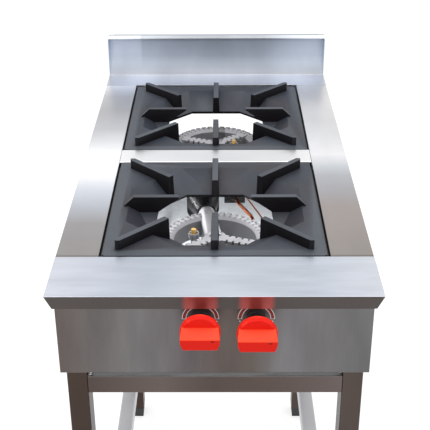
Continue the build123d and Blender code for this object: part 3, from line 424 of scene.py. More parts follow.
@dataclass(frozen=True)
class BrushedSteel:
    """Satin steel sheet whose tone changes along one axis under its scratches.

    The reach is the stretch of the tone axis that the stops are spread over. A lip's steel is darkened
    by a painted reflection of the dark room in front, with a painted red reflection at each knob, a crown
    is a painted highlight on what faces up, across holds painted reflection levels from side to side,
    the gap tone is painted shade in the hollow beside a grate, the ledge tone is a painted shade line
    along the top edge of the splashback, and the flank level is painted shade on faces that face sideways.
    """

    name: str
    stops: Stops
    reach: Pair
    tone_axis: Axis = Axis.Y
    grain_axis: Axis = Axis.X
    fine: float = 900.0
    stretch: float = 30.0
    streak: float = 0.05
    patch: float = 0.05
    patch_scale: Triple = (9.0, 9.0, 9.0)
    rough: float = 0.34
    metal: float = 1.0
    lip_reflection_tones: tuple[Colour, ...] = ()
    lip_metal: float = 0.35
    knob_reflection_places: tuple[float, ...] = ()
    knob_reflection_reach: Fade = (0.027, 0.017)
    across: tuple[Pair, ...] = ()
    across_reach: Pair = (-0.225, 0.225)
    top_level: float = 4.0
    gap_shade_height: tuple[float, ...] = ()
    gap_shade_side: Fade = (0.172, 0.168)
    gap_shade_tone: Colour = tone(22, 20, 20)
    ledge_height: tuple[float, ...] = ()
    ledge_back: Fade = (0.4665, 0.4685)
    ledge_shade_tone: Colour = tone(128, 146, 166)
    flank_shade_level: float = 1.0
    crown: Colour | None = None

    def ledge_edge(self, wire: Wiring) -> Socket:
        """1 along the back edge of the top ledge, where the sheet turns down and a painted shade line goes."""
        _, y, z = wire.point()
        return wire.within((z, *self.ledge_height), (y, *self.ledge_back))

    def gap_shade_mask(self, wire: Wiring) -> Socket:
        """1 on the folds and ledges that lie down in the gap beside a grate, which take painted shade."""
        x, _, z = wire.point()
        return wire.within((z, *self.gap_shade_height), (wire.math("ABSOLUTE", x), *self.gap_shade_side))

    def lip_reflection(self, wire: Wiring) -> object:
        """The tone of the folded front lip, darkened by a painted reflection of the dark room in front, with a warm
        painted reflection of the red knob over each knob.

        Args:
            wire: The material's wiring.

        Returns:
            The lip's colour.
        """
        colour, knob_reflection = self.lip_reflection_tones
        x = wire.point()[0]
        for place in self.knob_reflection_places:
            colour = wire.blend(wire.window(wire.away(x, place), *self.knob_reflection_reach), colour, knob_reflection)
        return colour

    def side_reflection_level(self, wire: Wiring) -> Socket:
        """How much lighter the sheet is towards its sides, a painted reflection, stronger further along the tone
        axis.

        Args:
            wire: The material's wiring.

        Returns:
            A level around 1. The ramp holds it as a share of the top level.
        """
        stops = tuple((place, (level / self.top_level,) * 3 + (1.0,)) for place, level in self.across)
        ramp = wire.ramp(wire.along(Axis.X, *self.across_reach), stops)
        lift = wire.math("SUBTRACT", wire.times(ramp, self.top_level), 1.0)
        share = wire.window(wire.along(self.tone_axis, *self.reach), 0.05, 0.75)
        return wire.plus(wire.times(lift, share), 1.0)

    def build(self, effects: Effects) -> Material:
        """Makes the material.

        Args:
            effects: The shared effects.

        Returns:
            The finished material.
        """
        material, wire, shader = start_material(self.name)
        grain = wire.use(effects.grain, self.grain_axis.stretched(self.fine, self.stretch))
        cloud = wire.use(effects.clouds, self.patch_scale, Contrast=2.2)
        sheet = wire.ramp(wire.along(self.tone_axis, *self.reach), self.stops)
        metal: object = self.metal
        # Painted reflection: the sheet lighter towards its sides.
        if self.across:
            sheet = wire.dim(sheet, self.side_reflection_level(wire))
        # Painted reflections on the front lip: the dark room in front, and each red knob.
        if self.lip_reflection_tones:
            front = wire.window(wire.facing(Axis.Y), -0.5, -0.8)
            sheet = wire.blend(front, sheet, self.lip_reflection(wire))
            metal = wire.span(front, self.metal, self.lip_metal)
        # Painted shade on faces that face sideways.
        if self.flank_shade_level < 1.0:
            flank_shade = wire.window(wire.math("ABSOLUTE", wire.facing(Axis.X)), 0.6, 0.9)
            sheet = wire.dim(sheet, wire.span(flank_shade, 1.0, self.flank_shade_level))
        # Painted highlight on what faces up.
        if self.crown:
            sheet = wire.blend(wire.window(wire.facing(Axis.Z), 0.3, 0.8), sheet, self.crown)
        # Painted shade line along the back edge of the top ledge.
        if self.ledge_height:
            sheet = wire.blend(self.ledge_edge(wire), sheet, self.ledge_shade_tone)
        # Painted shade in the gap beside a grate, near black and not metallic.
        if self.gap_shade_height:
            gap_shade = self.gap_shade_mask(wire)
            sheet = wire.blend(gap_shade, sheet, self.gap_shade_tone)
            metal = wire.span(gap_shade, self.metal, 0.0)
        level = wire.plus(
            wire.span(grain["Streak"], 1 - self.streak, 1 + self.streak),
            wire.span(cloud["Patch"], -self.patch, self.patch),
        )
        wire.fill(
            shader,
            Base_Color=wire.dim(sheet, level),
            Metallic=metal,
            Roughness=wire.span(grain["Streak"], self.rough - 0.05, self.rough + 0.05),
            Normal=wire.relief(grain["Height"], 0.00004, 0.35),
        )
        return material


@dataclass(frozen=True)
class CastIron:
    """Seasoned cast iron with painted light and shade: lit slate tops, shaded darker sides, rubbed edges, a faint
    brown tint.
    """

    name: str
    top: Colour
    side: Colour
    tint: Colour
    edge: Colour
    rough: float = 0.5

    def build(self, effects: Effects) -> Material:
        """Makes the material.

        Args:
            effects: The shared effects.

        Returns:
            The finished material.
        """
        material, wire, shader = start_material(self.name)
        skin = wire.use(effects.cast, 70, Pits=0.7)
        cloud = wire.use(effects.clouds, 14, Contrast=3.0)
        worn = wire.use(effects.wear, 60, Reach=0.09)
        # Painted light and shade: faces that face up take the lit top tone, the others the shaded side tone.
        facing = wire.window(wire.facing(Axis.Z), 0.25, 0.8)
        stained = wire.blend(wire.times(cloud["Patch"], 0.5), self.top, self.tint)
        lit_and_shaded = wire.dim(wire.blend(facing, self.side, stained), wire.span(skin["Mottle"], 0.75, 1.25))
        rubbed = wire.times(worn["Edge"], wire.span(facing, 0.15, 0.7))
        wire.fill(
            shader,
            Base_Color=wire.blend(rubbed, lit_and_shaded, self.edge),
            Roughness=wire.span(skin["Mottle"], self.rough - 0.08, self.rough + 0.14),
            Metallic=wire.span(facing, 0.0, 0.3),
            Specular_IOR_Level=wire.span(facing, 0.15, 0.5),
            Normal=wire.relief(skin["Height"], 0.0005, 0.5),
        )
        return material


@dataclass(frozen=True)
class CastMetal:
    """A light casting, mottled, with painted light on what faces up, painted shade on what faces away, and darker
    hollows.

    With the burners' centres given, the feed tube that runs back from each is darker, and flame ports
    stand round each ring, darkened with painted shade.
    """

    name: str
    lit_tone: Colour
    shade_and_hollow_tone: Colour
    stain: Colour
    rough: float = 0.5
    scale: float = 60.0
    centres: tuple[float, ...] = ()
    between: Fade = (0.029, 0.031)
    tube_slopes: Pair = (-0.091, 0.091)
    tube_side: Fade = (0.0125, 0.0105)
    tube_start: Fade = (0.0, 0.012)
    tube_level: float = 0.5
    ports: int = 46
    port_ring: float = 0.0745
    port_outer: Fade = (0.0062, 0.005)
    port_inner: Fade = (0.0006, 0.0014)
    port_height: Fade = (0.829, 0.83)
    port_shade_tone: Colour = tone(96, 95, 95)

    def from_middle(self, wire: Wiring) -> tuple[Socket, Socket, Socket]:
        """Where a point lies, seen from the middle of its own burner.

        Args:
            wire: The material's wiring.

        Returns:
            How far it lies to the right and to the back, and 0 for the front burner or 1 for the rear one.
        """
        x, y, _ = wire.point()
        rear = wire.window(y, *self.between)
        return x, wire.math("SUBTRACT", y, wire.span(rear, *self.centres)), rear

    def tube_mask(self, wire: Wiring) -> Socket:
        """1 on the feed tube that runs back from each burner's middle.

        Args:
            wire: The material's wiring.

        Returns:
            The mask.
        """
        across, along, rear = self.from_middle(wire)
        swerve = wire.times(along, wire.span(rear, *self.tube_slopes))
        return wire.within((wire.away(across, swerve), *self.tube_side), (along, *self.tube_start))

    def port_mask(self, wire: Wiring) -> Socket:
        """1 on the flame ports that stand in two rows round each burner's ring.

        Args:
            wire: The material's wiring.

        Returns:
            The mask.
        """
        across, along, _ = self.from_middle(wire)
        radius = wire.math("SQRT", wire.plus(wire.times(across, across), wire.times(along, along)))
        turn = wire.times(wire.math("ARCTAN2", along, across), float(self.ports))
        row = wire.away(radius, self.port_ring)
        return wire.within(
            (wire.math("COSINE", turn), 0.0, 0.5),
            (row, *self.port_outer),
            (row, *self.port_inner),
            (wire.point()[2], *self.port_height),
            (wire.facing(Axis.Z), 0.6, 0.9),
        )

    def build(self, effects: Effects) -> Material:
        """Makes the material.

        Args:
            effects: The shared effects.

        Returns:
            The finished material.
        """
        material, wire, shader = start_material(self.name)
        skin = wire.use(effects.cast, self.scale, Pits=0.6)
        cloud = wire.use(effects.clouds, 26, Contrast=3.2)
        worn = wire.use(effects.wear, 80, Reach=0.07)
        # Painted light and shade: what faces up takes the lit tone, what faces away the shade tone.
        body = wire.blend(wire.window(wire.facing(Axis.Z), -0.2, 0.9), self.shade_and_hollow_tone, self.lit_tone)
        body = wire.blend(wire.times(cloud["Patch"], 0.35), body, self.stain)
        body = wire.blend(worn["Hollow"], body, self.shade_and_hollow_tone)
        if self.centres:
            body = wire.dim(body, wire.span(self.tube_mask(wire), 1.0, self.tube_level))
            # Painted shade in the flame ports.
            body = wire.blend(self.port_mask(wire), body, self.port_shade_tone)
        wire.fill(
            shader,
            Base_Color=wire.dim(body, wire.span(skin["Mottle"], 0.85, 1.15)),
            Roughness=wire.span(skin["Mottle"], self.rough - 0.1, self.rough + 0.15),
            Metallic=0.0,
            Normal=wire.relief(skin["Height"], 0.0004, 0.45),
        )
        return material


@dataclass(frozen=True)
class PlainMetal:
    """Drawn tube, turned brass or dull plate: smooth, with patches and fine marks."""

    name: str
    base: Colour
    patch_tone: Colour
    rough: float = 0.3
    metal: float = 1.0
    patch_size: float = 40.0
    patch_share: float = 0.5
    grain_axis: Axis = Axis.Z

    def build(self, effects: Effects) -> Material:
        """Makes the material.

        Args:
            effects: The shared effects.

        Returns:
            The finished material.
        """
        material, wire, shader = start_material(self.name)
        grain = wire.use(effects.grain, self.grain_axis.stretched(700.0, 60.0))
        cloud = wire.use(effects.clouds, self.patch_size, Contrast=2.6)
        worn = wire.use(effects.wear, 90, Reach=0.08)
        body = wire.blend(wire.times(cloud["Patch"], self.patch_share), self.base, self.patch_tone)
        level = wire.plus(wire.span(grain["Streak"], 0.94, 1.06), wire.times(worn["Hollow"], -0.35))
        wire.fill(
            shader,
            Base_Color=wire.dim(body, level),
            Roughness=wire.span(cloud["Patch"], self.rough - 0.06, self.rough + 0.1),
            Metallic=self.metal,
            Normal=wire.relief(grain["Height"], 0.00003, 0.3),
        )
        return material


@dataclass(frozen=True)
class Moulded:
    """Moulded plastic, rubber or printed ink with a faint skin and rubbed edges.

    The upper tone is painted light on what slopes upwards below its top, and a mark stands at each given x.
    """

    name: str
    base: Colour
    shade: Colour
    edge: Colour
    rough: float = 0.4
    gloss: float = 0.5
    upper: Colour | None = None
    upper_top: float = 1.0
    marks: tuple[float, ...] = ()
    mark_height: float = 0.0
    mark_tall: Fade = (0.0013, 0.0009)
    mark_wide: Fade = (0.0026, 0.002)
    mark_tone: Colour = tone(120, 12, 14)

    def mark_mask(self, wire: Wiring) -> Socket:
        """1 on the small pointer mark at one end of each knob's grip.

        Args:
            wire: The material's wiring.

        Returns:
            The mask.
        """
        x, _, z = wire.point()
        away: object = 1.0
        for place in self.marks:
            away = wire.math("MINIMUM", away, wire.away(x, place))
        tall = (wire.away(z, self.mark_height), *self.mark_tall)
        return wire.within(tall, (away, *self.mark_wide), (wire.facing(Axis.Y), -0.5, -0.9))

    def build(self, effects: Effects) -> Material:
        """Makes the material.

        Args:
            effects: The shared effects.

        Returns:
            The finished material.
        """
        material, wire, shader = start_material(self.name)
        skin = wire.use(effects.cast, 400, Pits=0.3)
        cloud = wire.use(effects.clouds, 30, Contrast=2.0)
        worn = wire.use(effects.wear, 120, Reach=0.1)
        body = wire.blend(wire.times(cloud["Patch"], 0.5), self.base, self.shade)
        # Painted light: what slopes upwards below the top takes the lighter upper tone.
        if self.upper:
            rise = wire.facing(Axis.Z)
            below = (wire.point()[2], self.upper_top + MM, self.upper_top)
            body = wire.blend(wire.within((rise, 0.1, 0.5), (rise, 0.97, 0.85), below), body, self.upper)
        if self.marks:
            body = wire.blend(self.mark_mask(wire), body, self.mark_tone)
        wire.fill(
            shader,
            Base_Color=wire.blend(wire.times(worn["Edge"], 0.5), body, self.edge),
            Roughness=wire.span(skin["Mottle"], self.rough - 0.06, self.rough + 0.08),
            Specular_IOR_Level=self.gloss,
            Normal=wire.relief(skin["Height"], 0.00005, 0.3),
        )
        return material


Finish = BrushedSteel | CastIron | CastMetal | PlainMetal | Moulded


# Finishes of this object

# Heights at which the folds beside a grate take painted shade.
GAP_SHADE_HEIGHT = (0.8885, 0.8873)
KNOB_PLACES = (("left", -0.0185), ("right", 0.0563))

LANDING_STEEL = BrushedSteel(
    "landing_steel",
    shades(
        (0.0, 202, 205, 214), (0.1, 192, 196, 207), (0.3, 179, 187, 198),
        (0.5, 189, 195, 204), (0.8, 183, 189, 199), (1.0, 199, 203, 211),
    ),
    reach=(-0.225, 0.225),
    tone_axis=Axis.X,
    stretch=14.0,
    streak=0.09,
    patch=0.08,
    patch_scale=(9.0, 40.0, 9.0),
    # The front lip: steel darkened by a painted reflection of the dark room in front, with a warm painted reflection
    # of each red knob.
    lip_reflection_tones=(tone(72, 63, 60), tone(176, 70, 63)),
    knob_reflection_places=tuple(across for _, across in KNOB_PLACES),
)


def strip_steel(name: str, stops: Stops) -> BrushedSteel:
    """The steel of a side strip, toned from front to back with a painted reflection, and painted shade in the gap
    beside the grates.
    """
    return BrushedSteel(name, stops, reach=(-0.32, 0.385), patch_scale=(16.0, 7.0, 9.0), gap_shade_height=GAP_SHADE_HEIGHT)


# Between the end seams, the tones are a painted reflection of a soft light above and behind, brightest in the
# middle.
LEFT_STRIP_STEEL = strip_steel(
    "left_strip_steel",
    shades(
        (0.0, 104, 98, 95), (0.003, 104, 98, 95), (0.005, 147, 144, 142), (0.14, 154, 152, 153),
        (0.22, 182, 186, 194), (0.3, 210, 214, 222), (0.38, 246, 247, 250), (0.5, 253, 253, 253),
        (0.58, 224, 226, 229), (0.66, 197, 198, 202), (0.8, 183, 183, 186), (0.9, 197, 197, 199),
        (0.992, 240, 240, 243), (0.9942, 138, 134, 132), (1.0, 138, 134, 132),
    ),
)

# Between the end seams, the tones are a painted reflection of a soft light above and behind, brightest in the
# middle.
RIGHT_STRIP_STEEL = strip_steel(
    "right_strip_steel",
    shades(
        (0.0, 104, 98, 95), (0.003, 104, 98, 95), (0.005, 148, 142, 138), (0.22, 157, 149, 146),
        (0.3, 166, 165, 169), (0.38, 178, 180, 185), (0.43, 199, 203, 208), (0.5, 236, 235, 238),
        (0.6, 221, 222, 224), (0.72, 214, 214, 216), (0.84, 223, 222, 222), (0.992, 216, 215, 215),
        (0.9942, 112, 106, 102), (1.0, 112, 106, 102),
    ),
)

# Its bright tones are a painted reflection of the soft light that brightens the strips' middles, with painted shade
# in the gap beside the grates.
CROSS_STEEL = BrushedSteel(
    "cross_strip_steel",
    shades(
        (0.0, 240, 240, 241), (0.2, 226, 227, 230), (0.5, 217, 218, 221),
        (0.8, 222, 223, 224), (1.0, 236, 236, 237),
    ),
    reach=(-0.163, 0.163),
    tone_axis=Axis.X,
    patch=0.04,
    gap_shade_height=GAP_SHADE_HEIGHT,
)

# Its tones, darker upwards and lighter towards the sides, are a painted reflection of the surroundings; a painted
# shade line runs along the top ledge's back edge.
SPLASH_STEEL = BrushedSteel(
    "splashback_steel",
    shades(
        (0.0, 208, 210, 215), (0.026, 208, 210, 215), (0.034, 194, 197, 205), (0.07, 186, 190, 200),
        (0.1, 186, 191, 202), (0.3, 170, 178, 190), (0.5, 144, 152, 165), (0.7, 132, 140, 153),
        (0.95, 126, 133, 146), (1.0, 196, 200, 207),
    ),
    reach=(0.888, 0.969),
    tone_axis=Axis.Z,
    patch=0.1,
    patch_scale=(17.0, 2.0, 9.0),
    # Painted reflection: lighter towards the sides.
    across=(
        (0.0, 1.95), (0.05, 2.0), (0.145, 1.65), (0.157, 1.3), (0.3, 1.12),
        (0.5, 1.0), (0.72, 1.08), (0.8, 1.32), (0.92, 1.7), (1.0, 1.8),
    ),
    # Painted shade line along the back edge of the top ledge.
    ledge_height=(0.9665, 0.9673),
)

# Its dark brownish tones are the steel darkened by a painted reflection of the dark room in front.
PANEL_STEEL = BrushedSteel(
    "panel_steel",
    shades(
        (0.0, 103, 94, 91), (0.12, 104, 100, 99), (0.26, 114, 112, 112), (0.4, 102, 97, 98),
        (0.52, 94, 85, 82), (0.62, 96, 88, 84), (0.72, 117, 115, 117), (0.85, 109, 107, 108),
        (1.0, 107, 107, 108),
    ),
    reach=(-0.214, 0.214),
    tone_axis=Axis.X,
    grain_axis=Axis.Z,
    stretch=25.0,
    streak=0.09,
    patch=0.13,
    patch_scale=(30.0, 22.0, 7.0),
    rough=0.38,
)

SIDE_STEEL = BrushedSteel(
    "side_panel_steel",
    shades((0.0, 120, 116, 114), (0.5, 150, 149, 151), (1.0, 134, 132, 132)),
    reach=(-0.372, 0.472),
    grain_axis=Axis.Z,
    stretch=25.0,
    patch=0.08,
    patch_scale=(8.0, 8.0, 4.0),
    rough=0.38,
)

STAND_STEEL = BrushedSteel(
    "stand_steel",
    shades((0.0, 72, 60, 54), (0.2, 71, 61, 56), (0.8, 80, 70, 66), (1.0, 82, 73, 69)),
    reach=(-0.25, 0.25),
    tone_axis=Axis.X,
    grain_axis=Axis.Z,
    streak=0.06,
    patch=0.1,
    patch_scale=(12.0, 12.0, 5.0),
    rough=0.36,
    # Painted shade: faces that face sideways are darker.
    flank_shade_level=0.42,
)

RAIL_STEEL = BrushedSteel(
    "rail_steel",
    shades((0.0, 84, 74, 69), (0.3, 100, 90, 86), (0.5, 86, 76, 71), (0.7, 92, 80, 76), (1.0, 103, 93, 90)),
    reach=(-0.19, 0.19),
    tone_axis=Axis.X,
    patch=0.07,
    rough=0.36,
    # Painted highlight on the faces that face up.
    crown=tone(168, 164, 162),
)

STRETCHER_STEEL = BrushedSteel(
    "stretcher_steel",
    shades((0.0, 178, 178, 182), (0.5, 190, 190, 193), (1.0, 184, 184, 188)),
    reach=(-0.34, 0.43),
    grain_axis=Axis.Y,
    rough=0.36,
)

ZINC = PlainMetal(
    "zinc_sheet_finish",
    tone(188, 191, 197),
    tone(160, 165, 174),
    rough=0.42,
    metal=0.85,
    patch_size=60.0,
    patch_share=0.6,
)
TRAY_STEEL = PlainMetal(
    "drip_tray_finish",
    tone(244, 249, 253),
    tone(230, 238, 246),
    rough=0.5,
    metal=0.0,
    patch_size=30.0,
    patch_share=0.6,
)
BRIGHT_BRASS = PlainMetal("bright_brass_finish", tone(236, 196, 118), tone(208, 160, 88), rough=0.34, metal=0.7)
BRASS = PlainMetal("brass_finish", tone(196, 160, 92), tone(150, 116, 62))
COPPER = PlainMetal("copper_finish", tone(226, 142, 104), tone(176, 98, 70), rough=0.2, patch_size=50.0)
PIPE_STEEL = PlainMetal("pipe_steel_finish", tone(120, 120, 122), tone(88, 86, 86), rough=0.42, grain_axis=Axis.X)

# Lit slate tops and shaded dark sides: painted light and shade.
GRATE_IRON = CastIron("grate_iron", tone(44, 50, 61), tone(13, 10, 14), tone(52, 44, 43), tone(80, 85, 93))
# Lit and shaded tones by facing are painted light and shade; the ports take painted shade.
BURNER_CAST = CastMetal(
    "burner_casting",
    tone(164, 164, 169),
    tone(124, 124, 127),
    tone(142, 141, 141),
    rough=0.62,
    centres=(-0.1583, 0.2137),
)
# Lit and shaded tones by facing are painted light and shade.
BLACK_ENAMEL = CastMetal(
    "black_enamel_finish", tone(22, 22, 24), tone(8, 8, 9), tone(16, 15, 16), rough=0.26, scale=90.0
)

RED_PLASTIC = Moulded(
    "red_knob_plastic",
    tone(240, 26, 10),
    tone(232, 22, 8),
    tone(255, 70, 40),
    gloss=0.2,
    # Painted light on the grip's upward slopes.
    upper=tone(246, 78, 26),
    upper_top=0.8595,
    marks=(-0.002, 0.0728),
    mark_height=0.8492,
)
BLACK_PLASTIC = Moulded("black_moulding", tone(30, 29, 30), tone(20, 20, 21), tone(70, 68, 68), rough=0.42)
SOLE_RUBBER = Moulded("sole_rubber_finish", tone(32, 31, 32), tone(22, 21, 22), tone(54, 52, 52), rough=0.7)
WHITE_INK = Moulded("white_ink", tone(226, 222, 218), tone(206, 202, 198), tone(236, 234, 230), rough=0.5)
RED_INK = Moulded("red_ink", tone(120, 22, 20), tone(96, 14, 14), tone(150, 40, 36), rough=0.45)


# Modelling tools


def only(piece: Piece) -> None:
    """Makes one object the active and only selected one.

    Args:
        piece: The object.
    """
    for other in bpy.context.selected_objects:
        other.select_set(False)
    piece.select_set(True)
    bpy.context.view_layer.objects.active = piece


def apply_modifier(piece: Piece, kind: str, **settings: object) -> None:
    """Adds a modifier and applies it.

    Args:
        piece: The object it works on.
        kind: The modifier's type.
        **settings: Its properties.
    """
    only(piece)
    modifier = piece.modifiers.new(kind.lower(), kind)
    for name, value in settings.items():
        setattr(modifier, name, value)
    bpy.ops.object.modifier_apply(modifier=modifier.name)


def start_piece(name: str, primitive: Callable[..., object], **settings: object) -> Piece:
    """Adds a primitive with nothing else selected.

    Args:
        name: The new piece's name.
        primitive: The operator that adds it.
        **settings: The operator's settings.

    Returns:
        The new piece.
    """
    bpy.ops.object.select_all(action="DESELECT")
    primitive(**settings)
    piece = bpy.context.active_object
    piece.name = name
    return piece


def settle(piece: Piece) -> None:
    """Puts a piece's place into its mesh."""
    only(piece)
    bpy.ops.object.transform_apply(location=True, rotation=True, scale=True)


def in_edit(piece: Piece, work: Callable[[Edit], None]) -> None:
    """Runs a step on the piece in edit mode.

    Args:
        piece: The object to edit.
        work: The step, which gets the edit mesh and may call mesh operators after selecting.
    """
    only(piece)
    bpy.ops.object.mode_set(mode="EDIT")
    work(bmesh.from_edit_mesh(piece.data))
    bpy.ops.object.mode_set(mode="OBJECT")


def choose(mesh: bpy.types.Mesh, edit: Edit, wanted: Callable[[bmesh.types.BMFace], bool]) -> None:
    """Selects the faces that a test picks, and no others.

    Args:
        mesh: The mesh that is edited.
        edit: Its edit mesh.
        wanted: The test.
    """
    bpy.ops.mesh.select_all(action="DESELECT")
    for face in edit.faces:
        face.select_set(wanted(face))
    edit.select_flush_mode()
    bmesh.update_edit_mesh(mesh)


def face_thickness(face: bmesh.types.BMFace) -> float:
    """How narrow a face is: twice its area over its outline."""
    return 2 * face.calc_area() / max(face.calc_perimeter(), 1e-9)


def weigh_edges(edit: Edit, width: float, sharp: float, share: float) -> None:
    """Marks sharp edges for the bevel, less where a face beside them is narrow.

    Args:
        edit: The edit mesh.
        width: The bevel's full width.
        sharp: The angle from which an edge counts as sharp.
        share: How much of a narrow face the bevel may take.
    """
    layer = edit.edges.layers.float.get("bevel_weight_edge") or edit.edges.layers.float.new("bevel_weight_edge")
    for edge in edit.edges:
        weight = 0.0
        if len(edge.link_faces) == 2 and edge.calc_face_angle(0.0) > sharp:
            narrow = min(face_thickness(face) for face in edge.link_faces)
            weight = min(1.0, share * narrow / width)
        edge[layer] = weight


@dataclass
class Workshop:
    """Dresses copies of CAD nodes and keeps the finishes. Its angles are in degrees."""

    frame: dict
    effects: Effects
    finishes: dict[str, Material] = field(default_factory=dict)
    sharp_from: float = 28.0
    smooth_below: float = 40.0
    flat_within: float = 0.6
    weld: float = 0.00001
    bevel_share: float = 0.38

    def finish(self, recipe: Finish) -> Material:
        """The material of a finish, built the first time it is asked for.

        Args:
            recipe: The finish.

        Returns:
            The material.
        """
        if recipe.name not in self.finishes:
            self.finishes[recipe.name] = recipe.build(self.effects)
        return self.finishes[recipe.name]

    def paint(self, piece: Piece, recipe: Finish) -> None:
        """Gives a piece one finish all over."""
        piece.data.materials.clear()
        piece.data.materials.append(self.finish(recipe))

    def body_of(self, node: str) -> str:
        """The name of the CAD body that a node rides on."""
        return body_of(self.frame["nodes"][node])[0]

    def hand_over(self, piece: Piece, body: str, slot: str) -> None:
        """Lets a finished piece ride on a body.

        Args:
            piece: The finished piece.
            body: The CAD body it moves with.
            slot: The record's material slot. Not used.
        """
        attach(piece, body)
        log.info("%s rides on %s", piece.name, body)

    def round_off(self, node: str, recipe: Finish, width: float, segments: int) -> None:
        """Replaces a CAD node by a copy with its sharp edges rounded.

        Args:
            node: The CAD node's name.
            recipe: The finish.
            width: The rounding's full width.
            segments: Its steps.
        """
        source = self.frame["nodes"][node]
        slot = source.data.materials[0].name
        body = self.body_of(node)
        piece = bpy.data.objects.new(node + "_dressed", source.data.copy())
        bpy.context.scene.collection.objects.link(piece)

        def clean(edit: Edit) -> None:
            """Joins the loose triangles and the flat faces, and weighs the edges."""
            bpy.ops.mesh.select_all(action="SELECT")
            bpy.ops.mesh.remove_doubles(threshold=self.weld)
            bpy.ops.mesh.dissolve_limited(angle_limit=math.radians(self.flat_within))
            weigh_edges(bmesh.from_edit_mesh(piece.data), width, math.radians(self.sharp_from), self.bevel_share)
            bmesh.update_edit_mesh(piece.data)

        in_edit(piece, clean)
        apply_modifier(piece, "BEVEL", width=width, segments=segments, limit_method="WEIGHT", use_clamp_overlap=True)
        self.smooth(piece)
        self.paint(piece, recipe)
        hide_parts(node)
        self.hand_over(piece, body, slot)

    def smooth(self, piece: Piece) -> None:
        """Shades a piece smooth where its faces meet at a low angle, with flat faces kept flat.

        Args:
            piece: The piece.
        """
        only(piece)
        bpy.ops.object.shade_smooth_by_angle(angle=math.radians(self.smooth_below), keep_sharp_edges=False)
        apply_modifier(piece, "WEIGHTED_NORMAL", mode="FACE_AREA", keep_sharp=True, weight=90)


# Sub-assemblies


@dataclass(frozen=True)
class Coat:
    """One finish on several CAD nodes, with the full width of their rounded edges."""

    recipe: Finish
    width: float
    nodes: tuple[str, ...]
    wide: float = 1.5 * MM

    def steps(self) -> int:
        """How many steps the rounding has, more on a wide one."""
        return 3 if self.width > self.wide else 2


@dataclass
class SubAssembly:
    """A group of CAD nodes and the coats they are given."""

    shop: Workshop
    coats: tuple[Coat, ...] = ()

    def build(self) -> None:
        """Dresses the CAD nodes."""
        for coat in self.coats:
            for node in coat.nodes:
                self.shop.round_off(node, coat.recipe, coat.width, coat.steps())


@dataclass
class Hob(SubAssembly):
    """The sheet steel top: landing, side strips, cross strip and splashback."""

    coats: tuple[Coat, ...] = (
        Coat(LANDING_STEEL, 1.6 * MM, ("front_landing",)),
        Coat(LEFT_STRIP_STEEL, 1.6 * MM, ("left_side_strip",)),
        Coat(RIGHT_STRIP_STEEL, 1.6 * MM, ("right_side_strip",)),
        Coat(CROSS_STEEL, 1.6 * MM, ("cross_strip",)),
        Coat(SPLASH_STEEL, 1.6 * MM, ("rear_splashback",)),
        Coat(SIDE_STEEL, 0.6 * MM, ("splash_back_plate",)),
        Coat(ZINC, 1.0 * MM, ("mid_cross_member",)),
    )


@dataclass
class Grates(SubAssembly):
    """The two lift-off cast grates."""

    coats: tuple[Coat, ...] = (Coat(GRATE_IRON, 2.2 * MM, ("front_grate", "rear_grate")),)


